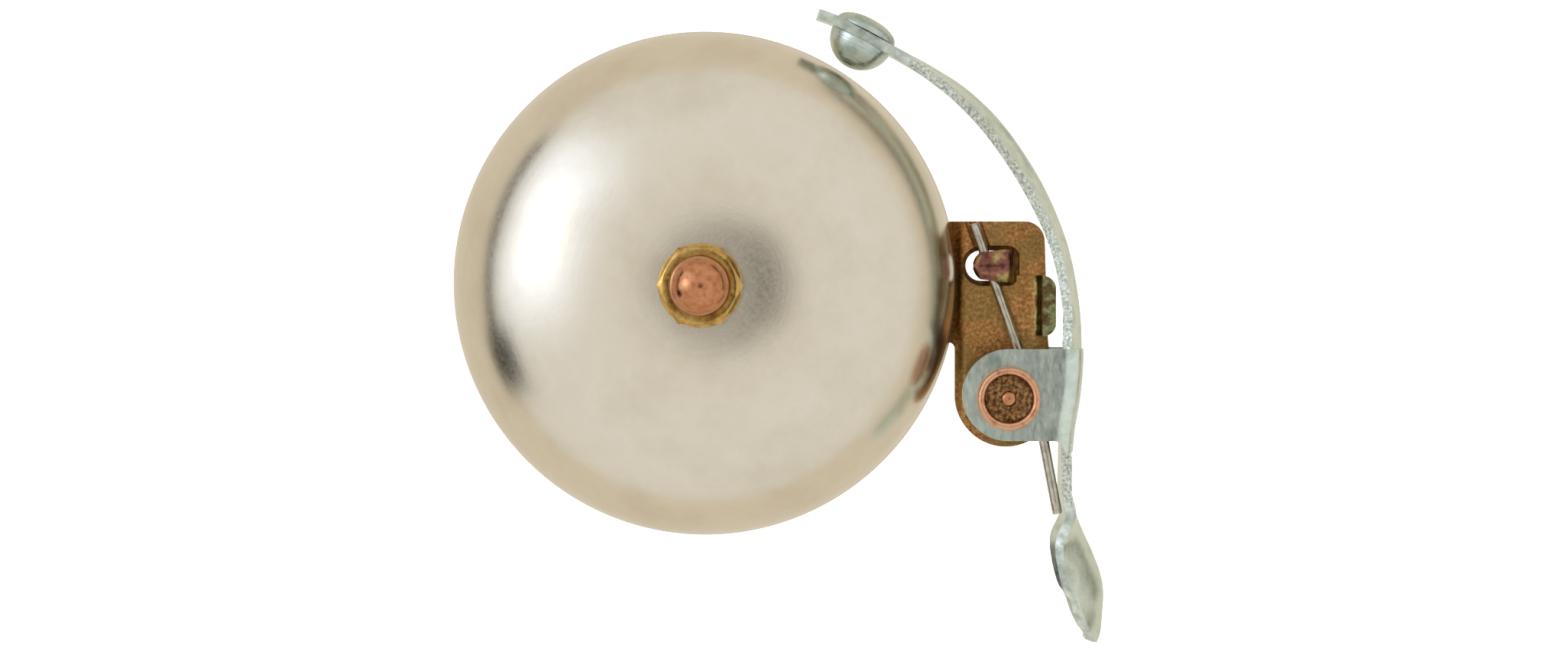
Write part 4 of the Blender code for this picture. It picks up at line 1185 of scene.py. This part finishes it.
def station(t):
    """The station values at t, from 0 at the tip to 1 at the paddle's end, on a smooth curve."""
    last = len(STATIONS) - 1
    at = min(max(t, 0), 1) * last
    i = min(int(at), last - 1)
    f = at - i
    p0, p1, p2, p3 = (STATIONS[min(max(i + k, 0), last)] for k in (-1, 0, 1, 2))
    values = []
    for a, b, c, d in zip(p0, p1, p2, p3):
        slope_b, slope_c = (c - a) / 2, (d - b) / 2
        rise = c - b
        bend = 3 * rise - 2 * slope_b - slope_c
        values.append(b + f * slope_b + f * f * bend + f**3 * (slope_b + slope_c - 2 * rise))
    return values


def spine(t):
    """Place on the spine and the outward direction there."""
    step = 1e-4
    x, y = station(t)[:2]
    x0, y0 = station(t - step)[:2]
    x1, y1 = station(t + step)[:2]
    dx, dy = x1 - x0, y1 - y0
    length = hypot(dx, dy)
    return Vector((x, y, 0)), Vector((-dy / length, dx / length, 0))


def section_depth(v, spoon):
    """How far in the section lies at v, from -1 at its lower edge to 1 at its upper one, as a share."""
    u = min(abs(v) / RIB_WIDTH, 1)
    arm = ((1 - RIB_SHARE) * v * v + RIB_SHARE * u * u * (3 - 2 * u)) * (1 if v > 0 else LOWER_CURL)
    return (1 - spoon) * arm + spoon * 0.98 * ((v * v + 0.02) ** 0.72 - 0.06)


def make_ribbon():
    """The curled strip, from the striker's end to the paddle's tip."""
    rows = RIBBON_STEPS * (len(STATIONS) - 1)
    columns = RIBBON_COLUMNS
    points = []
    for i in range(rows + 1):
        t = i / rows
        half, depth, rise, spoon = station(t)[2:]
        place, outward = spine(t)
        for j in range(columns + 1):
            v = 2 * j / columns - 1
            point = place - outward * depth * section_depth(v, min(max(spoon, 0), 1))
            points.append((point.x, point.y, LEVER_MID + rise + v * half))
    ribbon = mesh_object("lever_strip", points, quads(rows, columns), BLUE_ZINC, SHEARED_ZINC)
    return thicken(ribbon, SHEET, rim_slot=1)


def arm_shift(y):
    """How far the arm's outer face at y lies from WEB_FACE, between the stations either side of the web."""
    last = len(STATIONS) - 1
    first_station, last_station, fine = 8, 14, 8
    samples = [station(i / (fine * last))[:2] for i in range(fine * first_station, fine * last_station)]
    x = min(samples, key=lambda sample: abs(sample[1] - y))[0]
    for (x0, y0), (x1, y1) in zip(samples, samples[1:]):
        if (y0 - y) * (y1 - y) <= 0 and y0 != y1:
            x = x0 + (x1 - x0) * (y - y0) / (y1 - y0)
    return x - WEB_FACE + 0.02 * MM


def make_clevis():
    """Two cheeks and the web between them, which follows the arm."""
    left = PIVOT.x - CHEEK_RADIUS - CUT
    bend_x = WEB_FACE - WEB_BEND
    middle = (PIVOT.x, PIVOT.y + CHEEK_RISE)
    bottom, upper = middle[1] - CHEEK_RADIUS - CUT, middle[1] + CHEEK_RADIUS + CUT
    path = [(left + (bend_x - left) * i / 6, LEVER_TOP, i / 6) for i in range(6)]
    path += [(x, z, 1) for x, z in arc((bend_x, LEVER_TOP - WEB_BEND), WEB_BEND, 90, 0, 16)]
    path += [(x, z, 1) for x, z in arc((bend_x, LEVER_BOTTOM + WEB_BEND), WEB_BEND, 0, -90, 16)]
    path += [(left + (bend_x - left) * i / 6, LEVER_BOTTOM, i / 6) for i in range(5, -1, -1)]
    rows = 36
    points = []
    for i in range(rows + 1):
        y = bottom + (upper - bottom) * i / rows
        shift = arm_shift(y)
        points += [(x + shift * share, y, z) for x, z, share in path]
    channel = mesh_object("clevis", points, quads(rows, len(path) - 1), BLUE_ZINC, SHEARED_ZINC)
    channel = thicken(channel, SHEET)
    outline = arc(middle, CHEEK_RADIUS, 90, 270, 48)
    edge = middle[1] - CHEEK_RADIUS
    fillet = 1.2 * MM
    foot_x = WEB_FACE + arm_shift(edge) - SHEET - fillet
    outline += arc((foot_x, edge - fillet), fillet, 90, 0, 10)
    outline += [(WEB_FACE + CUT, edge - fillet), (WEB_FACE + CUT, middle[1] + CHEEK_RADIUS)]
    plan = prism("cutter", outline, LEVER_BOTTOM - CUT, LEVER_TOP + CUT, BLUE_ZINC, SHEARED_ZINC)
    return soften(combine(channel, plan, "INTERSECT"), 0.36 * MM, angle=55, segments=3)


def striker_seat():
    """Middle of the sheet at the striker, the outward direction, and the height there."""
    place, outward = spine(STRIKER_AT)
    return place - outward * SHEET / 2, outward, LEVER_MID + station(STRIKER_AT)[4]


def seat_matrix():
    """Turns and moves what is drawn about Z to stand on the strip at the striker."""
    place, outward, height = striker_seat()
    turn = outward.to_track_quat("Z", "Y").to_matrix().to_4x4()
    return Matrix.Translation((place.x, place.y, height)) @ turn


def make_lever():
    """Strip and clevis in one, with the holes for the rivet and the striker's shank."""
    lever = combine(soften(make_ribbon(), 0.2 * MM, angle=55), make_clevis(), "UNION")
    hole = post(RIVET_HOLE, LEVER_BOTTOM - CUT, LEVER_TOP + CUT, (PIVOT.x, PIVOT.y))
    lever = combine(lever, hole, "DIFFERENCE")
    shank_hole = post(STRIKER_SHANK + SEAT, -CUT, CUT, (0, 0), 48)
    shank_hole.data.transform(seat_matrix())
    lever = combine(lever, shank_hole, "DIFFERENCE")
    lever.name = "lever_strip"
    lever.data.materials.append(BURNISHED_ZINC)
    burnished = len(lever.data.materials) - 1
    sheared = [i for i, material in enumerate(lever.data.materials) if material == SHEARED_ZINC]
    for face in lever.data.polygons:
        if face.material_index in sheared and abs(face.center.y) >= BURNISHED_FROM:
            face.material_index = burnished
    return place_piece(lever, "striking_lever", "blue_zinc", "lever")


def make_striker():
    """A turned ball with its outer side riveted flat over the strip."""
    face = SHEET / 2 + 0.06 * MM
    angle = degrees(acos((face - STRIKER_DROP) / STRIKER_RADIUS))
    inner = arc((0, -STRIKER_DROP), STRIKER_RADIUS, angle - 90, -90, 36)
    cap_radius = STRIKER_RADIUS * 0.99
    cap_rise = STRIKER_CAP - face
    steps = 28
    cap = []
    for i in range(steps + 1):
        a = pi / 2 * i / steps
        cap.append((cap_radius * sin(a) ** 0.9, face + cap_rise * cos(a)))
    neck = [(STRIKER_SHANK, face), (STRIKER_SHANK, -face)]
    profile = [*cap, *neck, *inner[:-1], (0, -STRIKER_DROP - STRIKER_RADIUS)]
    # Blue-passivated zinc on a turned ball, with the lathe's rings across its axis.
    turned_zinc = finish(
        "blue_zinc_on_turned_ball",
        [(0.3, "#97A69F"), (0.5, "#B9C7C0"), (0.66, "#CBD6D0")],
        patch=2.5,
        rough=(0.14, 0.26),
        grain=0.4,
        bump=0.02,
        marks=(0.28, 3.0, seat_matrix().translation, striker_seat()[1]),
    )
    striker = lathe("striker_ball", profile, turned_zinc, closed=False, steps=96, tilt=seat_matrix())
    return place_piece(striker, "striking_lever", "blue_zinc", "striker")


def make_pivot():
    """Rivet with a rolled end round a struck, oxidised recess."""
    roll = 1.15 * MM
    roll_low = RIVET_TOP - roll
    roll_mid = (RIVET_HEAD + RIVET_RECESS) / 2
    roll_radius = (RIVET_HEAD - RIVET_RECESS) / 2
    floor = RIVET_TOP - 0.75 * MM
    steps = 12
    side = []
    for i in range(steps + 1):
        a = pi / 2 * i / steps
        side.append((RIVET_BUMP * sin(a), floor + 0.45 * MM * cos(a)))
    side += [(RIVET_BUMP + 0.3 * MM, floor - 0.05 * MM), (RIVET_RECESS - 0.5 * MM, floor)]
    side += [(RIVET_RECESS - 0.08 * MM, floor + 0.2 * MM)]
    side += arc((roll_mid, RIVET_TOP - roll_radius), roll_radius, 180, 0, 20)
    side += [(RIVET_HEAD, roll_low + 0.15 * MM), (RIVET_HEAD - 0.15 * MM, roll_low), (RIVET_SHANK, roll_low)]
    head_top = LEVER_BOTTOM - SEAT
    side += [(RIVET_SHANK, head_top), (RIVET_HEAD - 0.1 * MM, head_top), (RIVET_HEAD, head_top - 0.1 * MM)]
    side += arc((RIVET_HEAD - 0.5 * MM, RIVET_LOW + 0.5 * MM), 0.5 * MM, 0, -90, 8)
    side += [(0, RIVET_LOW)]
    coats = (RUBBED_COPPER, OXIDISED_COPPER, COPPER)
    rivet = lathe("rolled_rivet", side, *coats, middle=(PIVOT.x, PIVOT.y), closed=False, steps=96)
    bright = RIVET_BUMP * 0.8
    for face in rivet.data.polygons:
        reach = hypot(face.center.x - PIVOT.x, face.center.y - PIVOT.y)
        if face.center.z > floor - 0.1 * MM and bright < reach < RIVET_RECESS + 0.02 * MM:
            face.material_index = 1
        if face.center.z > floor - 0.1 * MM and reach < bright:
            face.material_index = 2
    place_piece(rivet, "base", "copper", "pivot_rivet")
    bottom, top = low("pivot_washer"), high("pivot_washer")
    radius = (top.x - bottom.x) / 2
    spot = (PIVOT.x, PIVOT.y)
    washer = ring("thrust_washer", radius, RIVET_HOLE, bottom.z, top.z, PLAIN_STEEL, middle=spot)
    place_piece(washer, "base", "steel", "pivot_washer")


# Floor, light and camera


def make_floor():
    """Pale floor just under the clamp, clear from below. The metal doesn't reflect it, but the world."""
    size = 3
    level = CAD_BOX[0][2] - 1 * MM
    corners = [(-size, -size, level), (size, -size, level), (size, size, level), (-size, size, level)]
    material = bpy.data.materials.new("pale_floor")
    material.use_nodes = True
    shader = material.node_tree.nodes["Principled BSDF"]
    shader.inputs["Base Color"].default_value = linear("#F4F3F1")
    shader.inputs["Roughness"].default_value = 0.9
    shader.inputs["Emission Color"].default_value = linear("#FFFFFF")
    shader.inputs["Emission Strength"].default_value = 0.75
    tree = material.node_tree
    under = add_node(tree, "ShaderNodeNewGeometry").outputs["Backfacing"]
    clear = add_node(tree, "ShaderNodeBsdfTransparent").outputs[0]
    both = add_node(tree, "ShaderNodeMixShader", {0: under, 1: shader.outputs[0], 2: clear})
    tree.links.new(both.outputs[0], tree.nodes["Material Output"].inputs["Surface"])
    floor = mesh_object("floor", corners, [(0, 1, 2, 3)], material)
    floor.visible_glossy = False


def soft_edge(tree, angle, reach, soft):
    """1 where an angle is within reach, in degrees, and 0 beyond, over a soft edge."""
    edge = {"Value": angle, "From Min": radians(reach + soft), "From Max": radians(reach - soft)}
    return add_node(tree, "ShaderNodeMapRange", edge, interpolation_type="SMOOTHSTEP").outputs["Result"]


def window(tree, azimuth, elevation, middle, half, soft):
    """1 inside a window of azimuth and elevation, in degrees, and 0 outside, with a soft edge."""
    sides = []
    for angle, place, reach in ((azimuth, middle[0], half[0]), (elevation, middle[1], half[1])):
        away = add_node(tree, "ShaderNodeMath", {0: angle, 1: radians(place)}, operation="SUBTRACT")
        turn = add_node(tree, "ShaderNodeMath", {0: away.outputs[0], 1: -pi, 2: pi}, operation="WRAP")
        size = add_node(tree, "ShaderNodeMath", {0: turn.outputs[0]}, operation="ABSOLUTE")
        sides.append(soft_edge(tree, size.outputs[0], reach, soft))
    return add_node(tree, "ShaderNodeMath", {0: sides[0], 1: sides[1]}, operation="MULTIPLY").outputs[0]


def disc(tree, way, middle, reach, soft):
    """1 within some degrees of a direction and 0 outside, with a soft edge."""
    near = add_node(tree, "ShaderNodeVectorMath", {0: way, 1: middle}, operation="DOT_PRODUCT")
    angle = add_node(tree, "ShaderNodeMath", {0: near.outputs["Value"]}, operation="ARCCOSINE")
    return soft_edge(tree, angle.outputs[0], reach, soft)


# Soft light round the bell: colour, strength, middle (azimuth, elevation), half size and edge, in degrees.
# Each one covers what comes before it.
SOFT_LIGHTS = [
    ("#E4DAC8", 1.0, (0, -45), (200, 44), 3),  # warm table below the horizon
    ("#E8EFFF", 1.7, (160, 34), (30, 20), 14),  # large soft box on the left
    ("#FFFFFF", 3.0, (163, 34), (11, 8), 6),  # lamp inside it
    ("#0E0D0A", 0.05, (168, 0), (30, 4), 2.5),  # black edge under the soft box
    ("#0E0D0A", 0.05, (201, 2), (8, 12), 4),  # its darkest part, by the table's corner
    ("#5A5848", 0.7, (24, -19), (34, 4), 4),  # dark edge of the table on the right
]
# The dark of the room behind the camera: colour, direction, reach and edge in degrees.
CAMERA_SIDE = ("#080705", (sin(radians(6.5)), 0, cos(radians(6.5))), 7.5, 7.5)


def make_world():
    """A bright room with the soft lights in it. The camera sees a plain pale backdrop."""
    world = bpy.data.worlds.new("studio")
    SCENE.world = world
    world.use_nodes = True
    tree = world.node_tree
    tree.nodes.clear()
    way = add_node(tree, "ShaderNodeTexCoord").outputs["Generated"]
    axes = add_node(tree, "ShaderNodeSeparateXYZ", {0: way})
    azimuth = add_node(
        tree, "ShaderNodeMath", {0: axes.outputs["Y"], 1: axes.outputs["X"]}, operation="ARCTAN2"
    ).outputs[0]
    elevation = add_node(tree, "ShaderNodeMath", {0: axes.outputs["Z"]}, operation="ARCSINE").outputs[0]
    height = add_node(
        tree, "ShaderNodeMapRange", {"Value": elevation, "From Min": 0, "From Max": pi / 2}
    ).outputs["Result"]
    light = add_ramp(tree, height, [(0, "#EDEAE4"), (0.45, "#F2F0EC"), (0.8, "#ECE8E1"), (1, "#E4E0D8")])
    for colour, strength, middle, half, soft in SOFT_LIGHTS:
        inside = window(tree, azimuth, elevation, middle, half, soft)
        light = cover(tree, light, inside, colour, strength)
    colour, middle, reach, soft = CAMERA_SIDE
    light = cover(tree, light, disc(tree, way, middle, reach, soft), colour)
    seen = add_node(tree, "ShaderNodeBackground", {"Color": linear("#F7F6F4"), "Strength": 1})
    cast = add_node(tree, "ShaderNodeBackground", {"Color": light, "Strength": 1})
    direct = add_node(tree, "ShaderNodeLightPath").outputs["Is Camera Ray"]
    both = add_node(tree, "ShaderNodeMixShader", {0: direct, 1: cast.outputs[0], 2: seen.outputs[0]})
    add_node(tree, "ShaderNodeOutputWorld", {"Surface": both.outputs[0]})


CAMERA_HEIGHT = 400 * MM  # over the dome's rim
CAMERA_STAND = (10.48 * MM, 4.34 * MM)
CAMERA_AIM = (8.64 * MM, -4.98 * MM)
CAMERA_LENS = 83.9


def make_camera():
    """Looks down on the dome, nearly along its axis."""
    camera = bpy.data.objects.new("camera", bpy.data.cameras.new("camera"))
    camera.data.sensor_width = 36
    camera.data.lens = CAMERA_LENS
    camera.data.clip_start = 0.01
    stand = Vector((*CAMERA_STAND, RIM_Z + CAMERA_HEIGHT))
    aim = Vector((*CAMERA_AIM, RIM_Z))
    back = (stand - aim).normalized()
    right = Vector((0, 1, 0)).cross(back).normalized()
    turn = Matrix((right, back.cross(right), back)).transposed()
    camera.matrix_world = Matrix.Translation(stand) @ turn.to_4x4()
    SCENE.collection.objects.link(camera)
    SCENE.camera = camera


def main():
    """Draws the bell, piece by piece, in its studio."""
    SCENE.view_settings.view_transform = "Standard"
    make_camera()
    make_world()
    make_floor()
    make_dome()
    make_cap_nut()
    make_stack()
    make_clamp()
    make_bracket()
    make_spring()
    make_lever()
    make_striker()
    make_pivot()


main()
